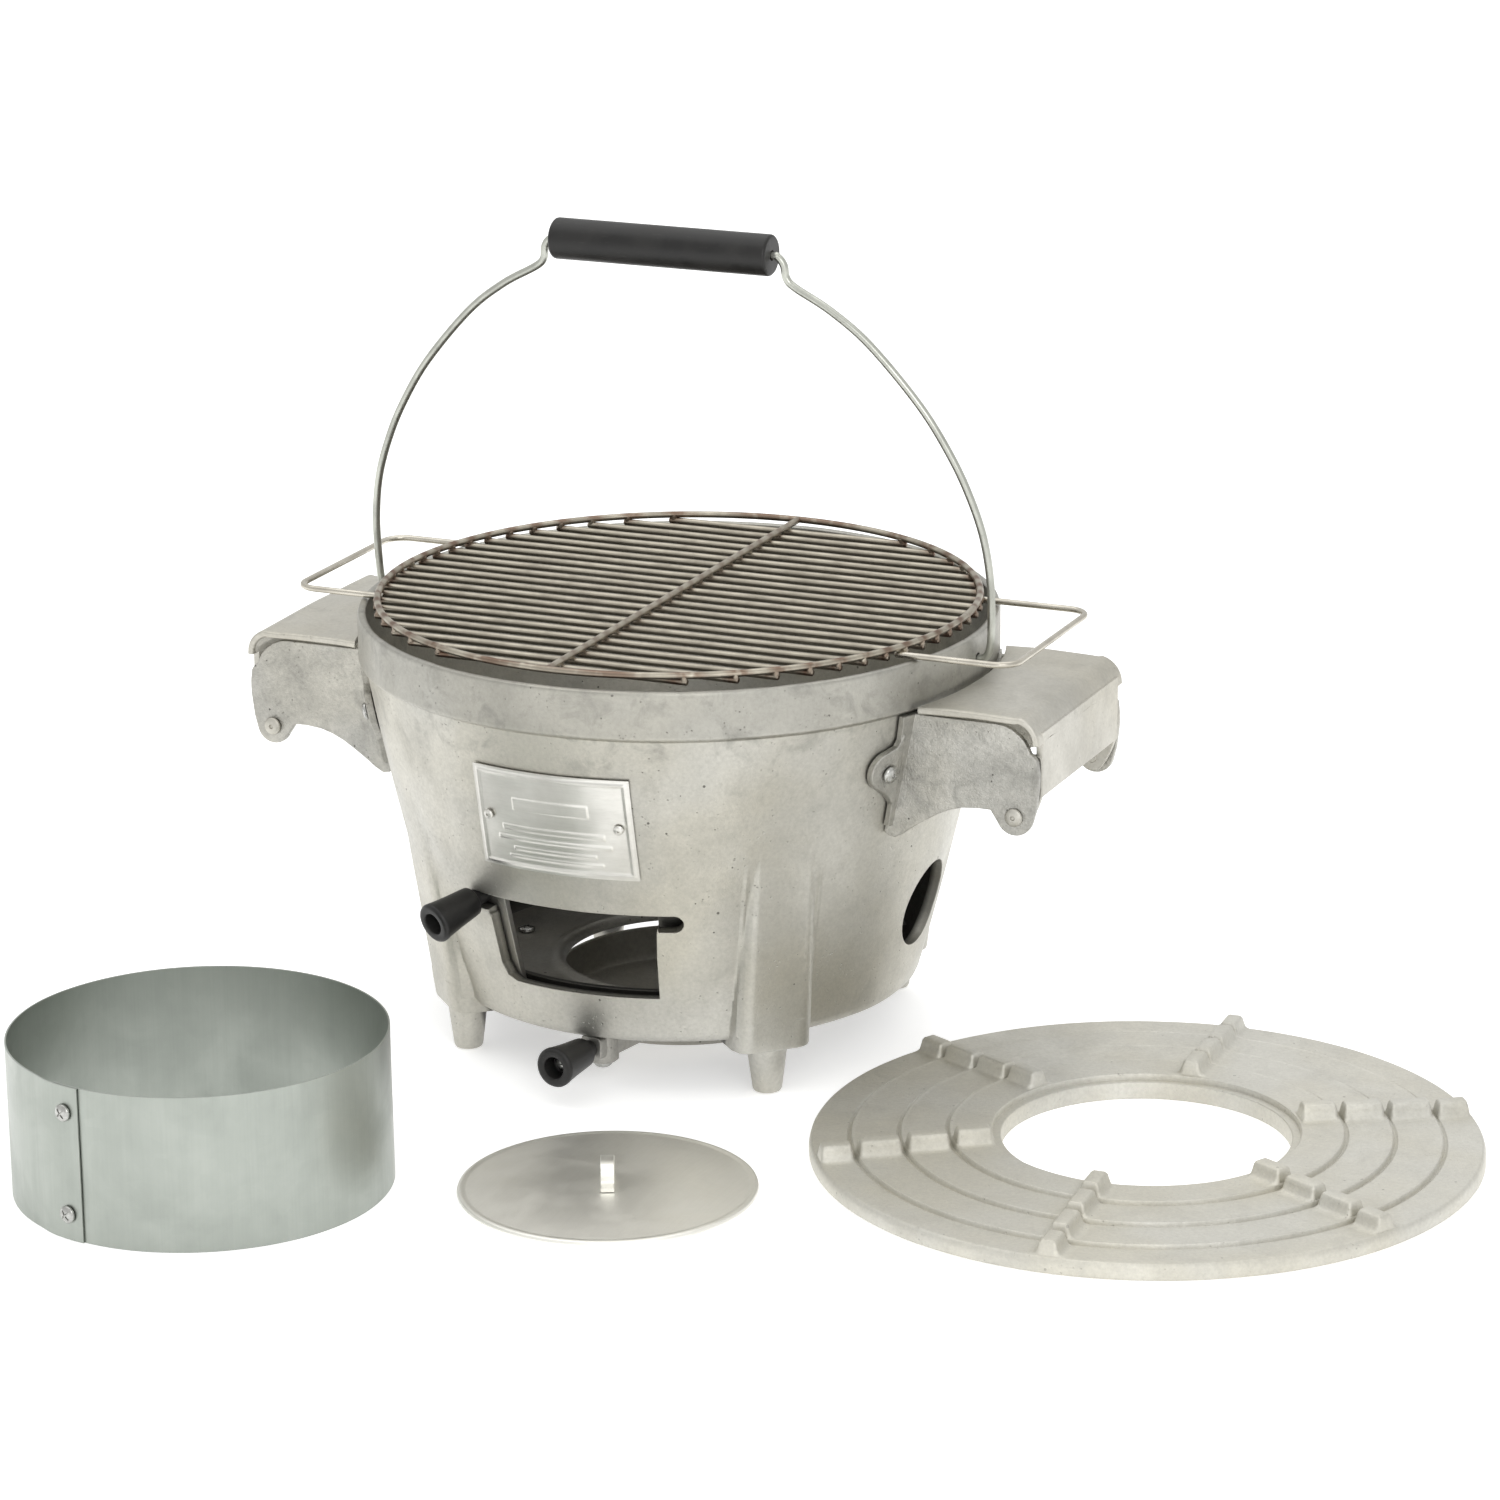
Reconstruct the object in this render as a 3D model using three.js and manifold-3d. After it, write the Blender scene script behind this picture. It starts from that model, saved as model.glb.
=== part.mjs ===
// Cast round charcoal grill (hibachi) with its loose fittings, in millimetres.
// The pot's axis is the local Z axis, +Z is up, the draft door faces -Y and the side brackets point along X.
// Angles called azimuth are in degrees round the pot, from -Y (the front) towards +X.
import * as THREE from 'three';
import { mergeVertices } from 'three/addons/utils/BufferGeometryUtils.js';
import Module from 'manifold-3d';

const wasm = await Module();
wasm.setup();

// ---------------------------------------------------------------- driving dimensions

const GAP = 0.3; // left between touching pieces
const PLAY = 0.2; // between a pin or bolt and what turns on it
const ROUND = 48; // sides of the large turned pieces
const SMALL = 12; // sides of the small turned pieces
const WIRE_SIDES = 6;
const BAR_SIDES = 4;

const BAND_R = 160.3; // rim band, outer radius
const RIM_Z = 219.2; // top of the rim
const FOOT_HEIGHT = 24; // floor to the underside of the leg pads
const BASE_Z = FOOT_HEIGHT + 3.8; // underside of the pot
const WALL_LOW = { z: BASE_Z + 0.2, r: BAND_R - 41.7 }; // outer wall, three stations of one smooth curve
const WALL_MID = { z: 110, r: BAND_R - 20.2 };
const WALL_TOP = { z: RIM_Z - 24.6, r: BAND_R - 3 };
const WALL = 6; // wall thickness
const RIM_WALL = 4.8; // thickness of the rim band
const BASE_EDGE = 5; // rounding between wall and underside
const LEDGE_R = 80; // opening in the pot's underside
const LEDGE = 3; // thickness of the ledge that carries the ash floor

const LEG_AZIMUTHS = [-135, -45, 45, 135];
const PEG_R = BAND_R - 44.3; // distance of the pegs from the pot's axis
const PEG_TOP_R = 10.2;
const PEG_TIP_R = 7.4;
const PAD_HALF_WIDTH = 20.5; // leg buttress
const PAD_FACE_LOW = BAND_R - 31.8; // buttress face, distance from the axis at its foot
const PAD_TOP_Z = 140; // where the buttress runs out into the wall

const DOOR_HALF = 19.3; // half width of the draft door, degrees
const DOOR_LOW = 54;
const DOOR_HIGH = 100.5;
const KNOB_NECK_R = 4.3;
const SLOT_HEIGHT = 2 * KNOB_NECK_R + 0.9; // slot for the shutter knob along the top of the door
const SLOT_END = 22.9; // azimuth of the slot's round ends' centres

const SHUTTER = 3; // plate thickness
const SHUTTER_PLAY = 0.7; // between the shutter and the wall, and its guide
const SHUTTER_SPAN = 49; // degrees
const SHUTTER_LEAD = 5.7; // degrees that the plate runs past its knob
const GUIDE = 3; // guide rail thickness
const GUIDE_LIPS = { below: -0.5, above: 1.5 }; // from the door's edge out to the lips' free edges
const RAIL_AT = 4.5; // distance from the door's edge to the rails

const VENT_R = 22;
const VENT_Z = 78;

const HOLE_R = 60; // hole in the ash floor
const ASH_FLOOR = 2.8;
const FLOOR_SCREW_R = 89; // distance of the ash floor screws from the axis

const PAN_R = 65;
const PAN_LOW = 6;
const PAN_WALL = 2.6;
const PAN_GAP = 0.7; // between the pan's rim and the pot's underside
const PIVOT = { x: 2, y: 17.6 - WALL_LOW.r }; // vertical pivot of the ash pan
const PIVOT_BOLT_R = 2.5;
const LUG_R = 8;
const LUG_LOW = BASE_Z - 16.8;
const PAN_KNOB_Z = BASE_Z - 7.3;
const PAN_KNOB_TURN = -8; // degrees

const KNOB_FACE_R = 10.2;
const KNOB_BACK_R = 7.4;
const KNOB_LENGTH = 26;
const KNOB_BORE_R = 5.4;
const KNOB_BORE_DEPTH = 9;
const KNOB_SCREW_R = 2;
const KNOB_SIDES = 12;

const COAL_GRATE_Z = 113.7;
const COAL_GRATE_PLAY = 4.458; // between the charcoal grate's edge and the pot's wall
const COAL_GRATE = 5;

const PLATE = { width: 82, low: 120, high: 173.5, thick: 1 };
const RIVET = { x: 34, z: 148, headR: 2.6, shankR: 1.5 };

const CHEEK_Y = 57; // outer face of a bracket's cheek
const CHEEK = 4; // cheek thickness
const CHEEK_TOP = RIM_Z - 25.7;
const PIN = { x: BAND_R + 41.2, z: CHEEK_TOP - 45.9 }; // hinge pins of a bracket's lid
const PIN_R = 3;
const SCREW_R = 2; // bracket and ash floor screws
const SCREW_HEAD_R = 4.4;
const LOBE_R = 9.6;
const FLANGE = { start: -1.018, screw: 3.382, end: 7.982, back: 1.982 }; // degrees past a cheek's outer face
const FLANGE_SCREW_Z = CHEEK_TOP - 27.5;
const LID = 4; // bracket lid thickness
const LID_OUT = PIN.x + 12.9; // outer face of the lid's outer plate
const LID_LOW = PIN.z + 9.4;
const LID_SIDE = PIN.z + 36.4; // lower edge of the lid's wide part
const LID_HALF_WIDE = CHEEK_Y + 1.6;
const LID_BAND_GAP = 2.6;

const PIVOT_Z = RIM_Z - 12.2; // bail pivots in the rim band
const BAIL_R = 2;
const BAIL_HOLE_R = 2.8;
const BAIL_TILT = 3.7; // degrees towards the front
const BAIL_CLEAR = 7.3; // from the rim band to the middle of the bail's wire
const GRIP = { length: 116, r: 10.2, play: 0.5, height: 195 };

const GRATE_R = BAND_R - 10.3; // cooking grate, middle of its ring wire
const GRATE_WIRE = 1.7; // wire radius
const BAR_PITCH = 12.3;
const BAR_SIDE = 11; // bars each side of the middle one
const LOOP_WIRE = 1.6;
const LOOP_HALF = 52.9;
const LOOP_REACH = { left: BAND_R + 27.7, right: BAND_R + 38.7 };

const SHEET = { r: 90.9, height: 75.3, thick: 0.8, lap: 16 };
const SHEET_AT = { x: -115.2, y: -292.7 };
const SHEET_SEAM = -18; // azimuth of the outer sheet edge
const LID_ROUND_R = 70.9;
const LID_ROUND_AT = { x: 66.3, y: -231.7 };
const STRAP = { width: 6.6, thick: 2, length: 38, height: 10.5, turn: 24.9 };
const RING_R = 160.5;
const RING_HOLE_R = 69;
const RING_AT = { x: 281.6, y: -88 };
const RING_EDGE = 8; // thickness at the outer edge
const RING_STEP = 1.2;
const RING_TERRACES = [RING_R, RING_R - 20, RING_R - 43.5, RING_R - 66.5, RING_HOLE_R + 4.3];
const RING_RIB_TURN = 33.5;

// ---------------------------------------------------------------- materials

function metal(color, roughness, metalness = 0.9) {
  return new THREE.MeshStandardMaterial({ color, roughness, metalness });
}

const finishes = {
  casting: metal(0xc3c1b6, 0.5),
  smoothCast: metal(0xcfccc2, 0.38),
  plate: metal(0xd2d0c6, 0.3),
  steel: metal(0xa8a190, 0.35),
  wire: metal(0x9c9c92, 0.35),
  zinc: metal(0xa9b2ad, 0.45),
  screw: metal(0xc9ccca, 0.25),
  iron: metal(0x4a4744, 0.8, 0.6),
  black: metal(0x2c2a28, 0.5, 0),
};

// ---------------------------------------------------------------- helpers

const rad = THREE.MathUtils.degToRad;

function vector(azimuth, r, z) {
  return new THREE.Vector3(r * Math.sin(rad(azimuth)), -r * Math.cos(rad(azimuth)), z);
}

function signedVolume(geometry) {
  const p = geometry.attributes.position;
  const index = geometry.index;
  const [a, b, c] = [new THREE.Vector3(), new THREE.Vector3(), new THREE.Vector3()];
  let sum = 0;
  for (let i = 0; i < index.count; i += 3) {
    a.fromBufferAttribute(p, index.getX(i));
    b.fromBufferAttribute(p, index.getX(i + 1));
    c.fromBufferAttribute(p, index.getX(i + 2));
    sum += a.dot(b.cross(c));
  }
  return sum;
}

// A closed geometry with shared vertices, its faces turned outwards.
function closed(geometry) {
  const bare = geometry.clone();
  bare.deleteAttribute('normal');
  bare.deleteAttribute('uv');
  const merged = mergeVertices(bare, 1e-4);
  const flip = signedVolume(merged) < 0;
  const kept = [];
  for (let i = 0; i < merged.index.count; i += 3) {
    const [a, b, c] = [0, 1, 2].map((n) => merged.index.getX(i + n));
    if (a !== b && b !== c && c !== a) {
      kept.push(a, flip ? c : b, flip ? b : c);
    }
  }
  merged.setIndex(kept);
  return merged;
}

function solid(geometry) {
  const g = closed(geometry);
  return new wasm.Manifold(new wasm.Mesh({
    numProp: 3,
    vertProperties: new Float32Array(g.attributes.position.array),
    triVerts: new Uint32Array(g.index.array),
  }));
}

function fromSolid(manifold) {
  const mesh = manifold.getMesh();
  const g = new THREE.BufferGeometry();
  g.setAttribute('position', new THREE.Float32BufferAttribute(mesh.vertProperties, 3));
  g.setIndex(Array.from(mesh.triVerts));
  return g;
}

function join(...geometries) {
  return fromSolid(geometries.map(solid).reduce((all, next) => all.add(next)));
}

function cut(geometry, ...tools) {
  return fromSolid(tools.map(solid).reduce((rest, tool) => rest.subtract(tool), solid(geometry)));
}

function common(geometry, tool) {
  return fromSolid(solid(geometry).intersect(solid(tool)));
}

// A piece turned about Z from [radius, height] points; the profile may start and end on the axis.
function turned(profile, sides = ROUND) {
  const points = profile.map(([r, z]) => new THREE.Vector2(r, z));
  const onAxis = profile[0][0] === 0 && profile.at(-1)[0] === 0;
  if (!onAxis) points.push(points[0].clone());
  return closed(new THREE.LatheGeometry(points, sides).rotateX(Math.PI / 2));
}

// A closed [radius, height] profile swept round the pot's axis between two azimuths.
function sector(section, from, to, step = 4) {
  const steps = Math.max(1, Math.round(Math.abs(to - from) / step));
  const drawn = section.map(([r, z]) => new THREE.Vector2(r, z));
  const profile = THREE.ShapeUtils.isClockWise(drawn) ? section.toReversed() : section;
  const count = profile.length;
  const position = [];
  for (let i = 0; i <= steps; i++) {
    const azimuth = from + ((to - from) * i) / steps;
    for (const [r, z] of profile) position.push(...vector(azimuth, r, z));
  }
  const index = [];
  for (let i = 0; i < steps; i++) {
    for (let j = 0; j < count; j++) {
      const a = i * count + j;
      const b = i * count + ((j + 1) % count);
      index.push(a, b, a + count, b, b + count, a + count);
    }
  }
  const outline = profile.map(([r, z]) => new THREE.Vector2(r, z));
  for (const [a, b, c] of THREE.ShapeUtils.triangulateShape(outline, [])) {
    index.push(a, c, b, steps * count + a, steps * count + b, steps * count + c);
  }
  const g = new THREE.BufferGeometry();
  g.setAttribute('position', new THREE.Float32BufferAttribute(position, 3));
  g.setIndex(index);
  return closed(g);
}

// Convex rings of points, one above another, joined into a closed body.
function loft(rings) {
  const count = rings[0].length;
  const index = [];
  for (let i = 0; i + 1 < rings.length; i++) {
    for (let j = 0; j < count; j++) {
      const a = i * count + j;
      const b = i * count + ((j + 1) % count);
      index.push(a, b, a + count, b, b + count, a + count);
    }
  }
  const last = (rings.length - 1) * count;
  for (let j = 1; j + 1 < count; j++) {
    index.push(0, j + 1, j, last, last + j, last + j + 1);
  }
  const g = new THREE.BufferGeometry();
  g.setAttribute('position', new THREE.Float32BufferAttribute(rings.flat().flatMap((p) => [...p]), 3));
  g.setIndex(index);
  return closed(g);
}

// A flat outline in the XZ plane given thickness along Y, centred on y.
function slabXZ(points, y, thickness) {
  const shape = new THREE.Shape(points.map(([x, z]) => new THREE.Vector2(x, z)));
  const g = new THREE.ExtrudeGeometry(shape, { depth: thickness, bevelEnabled: false });
  return closed(g.rotateX(Math.PI / 2).translate(0, y + thickness / 2, 0));
}

// Radius of a many-sided hole whose flats clear a round shank.
function bore(radius, clearance = GAP, sides = SMALL) {
  return (radius + clearance) / Math.cos(Math.PI / sides);
}

function rod(radius, length, sides = SMALL) {
  return closed(new THREE.CylinderGeometry(radius, radius, length, sides));
}

// An upright rod about a point.
function upright(radius, length, x, y, z, sides = SMALL) {
  return rod(radius, length, sides).rotateX(Math.PI / 2).translate(x, y, z);
}

// A rod along X between two places.
function rodX(radius, x0, x1, y, z, sides = SMALL) {
  return rod(radius, x1 - x0, sides).rotateZ(Math.PI / 2).translate((x0 + x1) / 2, y, z);
}

// A rod between any two points.
function rodBetween(radius, a, b, sides = SMALL) {
  const along = b.clone().sub(a);
  const turn = new THREE.Quaternion().setFromUnitVectors(new THREE.Vector3(0, 1, 0), along.clone().normalize());
  const g = rod(radius, along.length(), sides).applyQuaternion(turn);
  return g.translate((a.x + b.x) / 2, (a.y + b.y) / 2, (a.z + b.z) / 2);
}

// A path that goes through its points in turn, mitred at each.
class Route extends THREE.Curve {
  constructor(points) {
    super();
    this.points = points;
  }

  getSpacedPoints() {
    return this.points;
  }

  getTangentAt(share) {
    const i = Math.round(share * (this.points.length - 1));
    const here = this.points[i];
    const before = this.points[i - 1] ?? here;
    const after = this.points[i + 1] ?? here;
    const into = here.clone().sub(before).normalize();
    return into.add(after.clone().sub(here).normalize()).normalize();
  }
}

function wire(points, radius) {
  const section = new THREE.Shape();
  for (let i = 0; i < WIRE_SIDES; i++) {
    const a = ((i + 0.5) / WIRE_SIDES) * 2 * Math.PI;
    section[i ? 'lineTo' : 'moveTo'](radius * Math.cos(a), radius * Math.sin(a));
  }
  section.closePath();
  const options = { steps: points.length - 1, bevelEnabled: false, extrudePath: new Route(points) };
  return closed(new THREE.ExtrudeGeometry(section, options));
}

function piece(name, geometry, finish) {
  const mesh = new THREE.Mesh(geometry, finish.clone());
  mesh.geometry.computeVertexNormals();
  mesh.name = name;
  return mesh;
}

function group(...children) {
  return new THREE.Group().add(...children);
}

// ---------------------------------------------------------------- the pot's wall

// Outer radius of the wall: the parabola through its three stations.
function wallR(z) {
  const lower = (WALL_MID.r - WALL_LOW.r) / (WALL_MID.z - WALL_LOW.z);
  const upper = (WALL_TOP.r - WALL_MID.r) / (WALL_TOP.z - WALL_MID.z);
  const bend = (upper - lower) / (WALL_TOP.z - WALL_LOW.z);
  return WALL_LOW.r + lower * (z - WALL_LOW.z) + bend * (z - WALL_LOW.z) * (z - WALL_MID.z);
}

const coalGrateR = wallR(COAL_GRATE_Z) - WALL - COAL_GRATE_PLAY;

// Azimuth of a cheek's outer face, from the middle of its bracket.
const cheekAzimuth = THREE.MathUtils.radToDeg(Math.asin(CHEEK_Y / wallR(FLANGE_SCREW_Z)));
const flangeScrew = cheekAzimuth + FLANGE.screw;

// How far the wall leans out at a height, as an angle in radians.
function wallLean(z) {
  return Math.atan((wallR(z + 1) - wallR(z - 1)) / 2);
}

// Heights at which a piece that follows the wall takes a point.
function stations(low, high, spacing = 40) {
  const steps = Math.max(1, Math.round((high - low) / spacing));
  return Array.from({ length: steps + 1 }, (_, i) => low + ((high - low) * i) / steps);
}

// Closed profile of a layer that follows the wall, between two offsets from its outer face.
function layer(low, high, inner, outer) {
  const up = stations(low, high);
  const rising = up.map((z) => [wallR(z) + outer, z]);
  const falling = up.toReversed().map((z) => [wallR(z) + inner, z]);
  return [...rising, ...falling];
}

// The outside of wall and band, grown by a clearance, for cutting what stands against it.
function wallEnvelope(clearance) {
  const side = stations(WALL_LOW.z, WALL_TOP.z).map((z) => [wallR(z) + clearance, z]);
  const band = BAND_R + clearance;
  return turned([[0, 0], [side[0][0], 0], ...side.slice(0, -1), [side.at(-1)[0], WALL_TOP.z - clearance],
    [band, WALL_TOP.z - clearance], [band, RIM_Z + 60], [0, RIM_Z + 60]]);
}

// ---------------------------------------------------------------- fire pot

const guideOffset = -WALL - 2 * SHUTTER_PLAY - SHUTTER; // from the wall's outer face to the lips' near face

function legPad(azimuth) {
  const corner = 9;
  const ring = (z, face) => {
    const inner = z < BASE_Z ? PEG_R - 12 : wallR(z) - WALL / 2;
    const outline = [[-PAD_HALF_WIDTH, inner], [-PAD_HALF_WIDTH, face - corner]];
    outline.push([-PAD_HALF_WIDTH + corner * 0.3, face - corner * 0.3], [-PAD_HALF_WIDTH + corner, face]);
    const mirrored = outline.toReversed().map(([u, v]) => [-u, v]);
    return [...outline, ...mirrored].map(([u, v]) => {
      const out = vector(azimuth, v, z);
      const side = vector(azimuth + 90, u, 0);
      return out.add(side);
    });
  };
  const faceTop = wallR(PAD_TOP_Z) - 0.5;
  const face = (z) => THREE.MathUtils.mapLinear(z, FOOT_HEIGHT, PAD_TOP_Z, PAD_FACE_LOW, faceTop);
  return loft([FOOT_HEIGHT, BASE_Z - 0.1, BASE_Z, 60, 100, PAD_TOP_Z].map((z) => ring(z, face(z))));
}

function legPeg(azimuth) {
  const peg = turned([[0, 0], [PEG_TIP_R - 2, 0], [PEG_TIP_R, 2], [PEG_TOP_R, FOOT_HEIGHT],
    [PEG_TOP_R, FOOT_HEIGHT + 3], [0, FOOT_HEIGHT + 3]], SMALL);
  return peg.translate(...vector(azimuth, PEG_R, 0));
}

function potOutside() {
  const side = stations(WALL_LOW.z + BASE_EDGE, WALL_TOP.z).map((z) => [wallR(z), z]);
  const foot = WALL_LOW.r - BASE_EDGE;
  return turned([[0, BASE_Z], [foot, BASE_Z], [foot + BASE_EDGE * 0.75, BASE_Z + BASE_EDGE * 0.3], ...side,
    [BAND_R, WALL_TOP.z + 1.2], [BAND_R, RIM_Z - 1], [BAND_R - 1, RIM_Z], [0, RIM_Z]]);
}

function potHollow() {
  const rim = BAND_R - RIM_WALL;
  const ledgeTop = BASE_Z + LEDGE;
  const side = stations(ledgeTop + 3, WALL_TOP.z).map((z) => [wallR(z) - WALL, z]);
  return turned([[0, 0], [LEDGE_R, 0], [LEDGE_R, ledgeTop], [side[0][0] - 2, ledgeTop], ...side,
    [rim, WALL_TOP.z + 12], [rim, RIM_Z - 1.5], [rim + 1.5, RIM_Z + 1], [0, RIM_Z + 1]]);
}

const slotZ = DOOR_HIGH - SLOT_HEIGHT / 2;

// The door, with the knob's slot cut square to the wall along its top.
function doorway() {
  const [near, far] = [110, 170];
  const slotAt = (r) => slotZ - (r - wallR(slotZ)) * Math.tan(wallLean(slotZ));
  const half = SLOT_HEIGHT / 2;
  const door = [[near, DOOR_LOW], [far, DOOR_LOW], [far, slotAt(far)], [near, slotAt(near)]];
  const slot = [[near, slotAt(near) - half], [far, slotAt(far) - half], [far, slotAt(far) + half],
    [near, slotAt(near) + half]];
  const ends = [-SLOT_END, SLOT_END].map((azimuth) => rodBetween(half, vector(azimuth, near, slotAt(near)),
    vector(azimuth, far, slotAt(far)), 16));
  return join(sector(door, -DOOR_HALF, DOOR_HALF, 6), sector(slot, -SLOT_END, SLOT_END, 6), ...ends);
}

// A rail along one edge of the shutter, with a lip behind the plate; side is -1 below and 1 above the door.
function guideRail(edge, side, lip, from, to) {
  const inside = guideOffset;
  const section = [[-WALL / 2, 8], [inside - GUIDE, 8], [inside - GUIDE, lip], [inside, lip],
    [inside, RAIL_AT], [-WALL / 2, RAIL_AT]];
  const onWall = section.map(([offset, away]) => [offset, edge + side * away])
    .map(([offset, z]) => [wallR(z) + offset, z]);
  return sector(onWall, from, to, 6);
}

// Rails inside the wall that the shutter runs in, with the pocket that it closes into.
function shutterGuide() {
  const left = -SLOT_END + SHUTTER_LEAD - SHUTTER_SPAN - 1.5;
  const right = SLOT_END + SHUTTER_LEAD + 1.5;
  const [low, high] = [DOOR_LOW - 7.5, DOOR_HIGH + 7.5];
  const pocket = layer(low, high, guideOffset - GUIDE + 0.5, guideOffset - 0.3);
  const stop = layer(low, high, guideOffset - GUIDE + 0.5, -WALL / 2);
  return join(guideRail(DOOR_LOW, -1, GUIDE_LIPS.below, left, right + 0.7),
    guideRail(DOOR_HIGH, 1, GUIDE_LIPS.above, left, right + 0.7),
    sector(pocket, DOOR_HALF, right + 1, 6), sector(stop, right, right + 1.5));
}

// Four lugs inside the wall that carry the charcoal grate.
function grateLugs() {
  const top = COAL_GRATE_Z - GAP;
  const lug = layer(top - 5, top, -WALL - 9, -WALL / 2);
  return [-135, -38, 38, 135].map((azimuth) => sector(lug, azimuth - 3.5, azimuth + 3.5, 5));
}

function wallHole(azimuth, z, radius, depth) {
  const lean = wallLean(z);
  const inward = vector(azimuth, -Math.cos(lean), Math.sin(lean));
  const start = vector(azimuth, wallR(z), z).addScaledVector(inward, -10);
  return rodBetween(radius, start, start.clone().addScaledVector(inward, 10 + depth), 8);
}

function rivetAzimuth(side) {
  return THREE.MathUtils.radToDeg(Math.asin((side * RIVET.x) / wallR(RIVET.z)));
}

function plateHole(side) {
  return wallHole(rivetAzimuth(side), RIVET.z, bore(RIVET.shankR, GAP, 8), 4.5);
}

const flangeAzimuths = [-90, 90].flatMap((middle) => [middle - flangeScrew, middle + flangeScrew]);

function firePot() {
  const body = join(potOutside(), ...LEG_AZIMUTHS.map(legPad), ...LEG_AZIMUTHS.map(legPeg));
  const shell = cut(body, potHollow(), doorway(), rodX(VENT_R, -200, 200, 0, VENT_Z, 16),
    ...[-BAND_R, BAND_R].map((x) => rodX(BAIL_HOLE_R, x - 8, x + 8, 0, PIVOT_Z)));
  const fitted = join(shell, shutterGuide(), ...grateLugs());
  return cut(fitted,
    ...[-1, 1].map((side) => plateHole(side)),
    ...flangeAzimuths.map((azimuth) => wallHole(azimuth, FLANGE_SCREW_Z, bore(SCREW_R, GAP, 8), 4.5)),
    ...[-1, 1].map((side) => upright(bore(SCREW_R), 20, side * FLOOR_SCREW_R, 0, BASE_Z)),
    upright(bore(PIVOT_BOLT_R), 5, PIVOT.x, PIVOT.y, BASE_Z));
}

// ---------------------------------------------------------------- ash floor, pan and charcoal grate

const ashFloorLow = BASE_Z + LEDGE + GAP;

function ashFloor() {
  const low = ashFloorLow;
  const top = low + ASH_FLOOR;
  const edge = wallR(low) - WALL - 3;
  const disc = turned([[HOLE_R, low], [edge, low], [edge, top], [HOLE_R + 9, top], [HOLE_R + 5, top + 2.2],
    [HOLE_R + 1, top + 0.8]]);
  return cut(disc, ...[-1, 1].map((side) => upright(bore(SCREW_R), 20, side * FLOOR_SCREW_R, 0, low)));
}

// A round-headed screw whose head sits on z = 0 and whose shank points down, with a drive slot.
function roundScrew(headR, headHeight, shankR, length) {
  const screw = turned([[0, -length], [shankR, -length], [shankR, 0], [headR, 0], [headR, headHeight * 0.35],
    [headR * 0.72, headHeight * 0.85], [0, headHeight]], SMALL);
  const drive = new THREE.BoxGeometry(headR * 2.4, 1, headHeight * 0.5).translate(0, 0, headHeight);
  return cut(screw, drive);
}

function panKnobMount() {
  return new THREE.Vector3(PIVOT.x, PIVOT.y, PAN_KNOB_Z);
}

function ashPan() {
  const high = BASE_Z - PAN_GAP;
  const pan = turned([[0, PAN_LOW], [PAN_R - 4, PAN_LOW], [PAN_R - 0.6, PAN_LOW + 2.4], [PAN_R, PAN_LOW + 5],
    [PAN_R, high], [PAN_R - PAN_WALL, high], [PAN_R - PAN_WALL - 1, PAN_LOW + 3.2], [0, PAN_LOW + 3.2]], 40);
  const armBack = -PAN_R + PAN_WALL + 0.6;
  const arm = (z, half) => [[-half, armBack], [half, armBack], [LUG_R, PIVOT.y], [-LUG_R + PIVOT.x, PIVOT.y]]
    .map(([x, y]) => new THREE.Vector3(x, y, z));
  const lug = upright(LUG_R, high - LUG_LOW, PIVOT.x, PIVOT.y, (high + LUG_LOW) / 2, 16);
  const nose = new THREE.BoxGeometry(12, 10, 12).translate(0, -LUG_R + 2, 0)
    .rotateZ(rad(PAN_KNOB_TURN)).translate(PIVOT.x, PIVOT.y, PAN_KNOB_Z);
  const whole = join(pan, loft([arm(LUG_LOW + 3, 14), arm(high, 22)]), lug, nose);
  const bolt = upright(bore(PIVOT_BOLT_R, PLAY), 60, PIVOT.x, PIVOT.y, PAN_KNOB_Z);
  const away = vector(PAN_KNOB_TURN, 1, 0);
  const knobHole = rodBetween(bore(KNOB_SCREW_R, GAP, 8), panKnobMount().addScaledVector(away, PIVOT_BOLT_R + 1.4),
    panKnobMount().addScaledVector(away, 30), 8);
  return cut(whole, bolt, knobHole);
}

function pivotBolt() {
  const head = LUG_LOW - GAP;
  const bolt = turned([[0, head - 3.4], [4.6, head - 3.4], [4.6, head], [PIVOT_BOLT_R, head],
    [PIVOT_BOLT_R, BASE_Z + 2.2], [0, BASE_Z + 2.2]], SMALL);
  return bolt.translate(PIVOT.x, PIVOT.y, 0);
}

function charcoalGrate() {
  const disc = upright(coalGrateR, COAL_GRATE, 0, 0, COAL_GRATE_Z + COAL_GRATE / 2, 40);
  const [pitch, width, rib, border] = [17, 9, 7, 12];
  const slots = [];
  for (let row = -6; row <= 6; row++) {
    const reach = Math.sqrt((coalGrateR - border) ** 2 - (row * pitch) ** 2);
    for (const side of [-1, 1]) {
      const slot = new THREE.BoxGeometry(reach - rib, width, 4 * COAL_GRATE);
      slots.push(slot.translate((side * (reach + rib)) / 2, row * pitch, COAL_GRATE_Z));
    }
  }
  return cut(disc, ...slots);
}

// ---------------------------------------------------------------- knobs and shutter

// A knob's parts stand along +Z from z = 0, where its neck meets the piece that it is screwed to.
function knobBody(neck) {
  const face = neck + KNOB_LENGTH;
  const hole = bore(KNOB_SCREW_R, GAP, KNOB_SIDES);
  return turned([[hole, 0], [KNOB_NECK_R, 0], [KNOB_NECK_R, neck], [KNOB_BACK_R, neck], [KNOB_FACE_R, face - 2.5],
    [KNOB_FACE_R - 2, face], [KNOB_BORE_R, face], [KNOB_BORE_R, face - KNOB_BORE_DEPTH],
    [hole, face - KNOB_BORE_DEPTH]], KNOB_SIDES);
}

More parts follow.
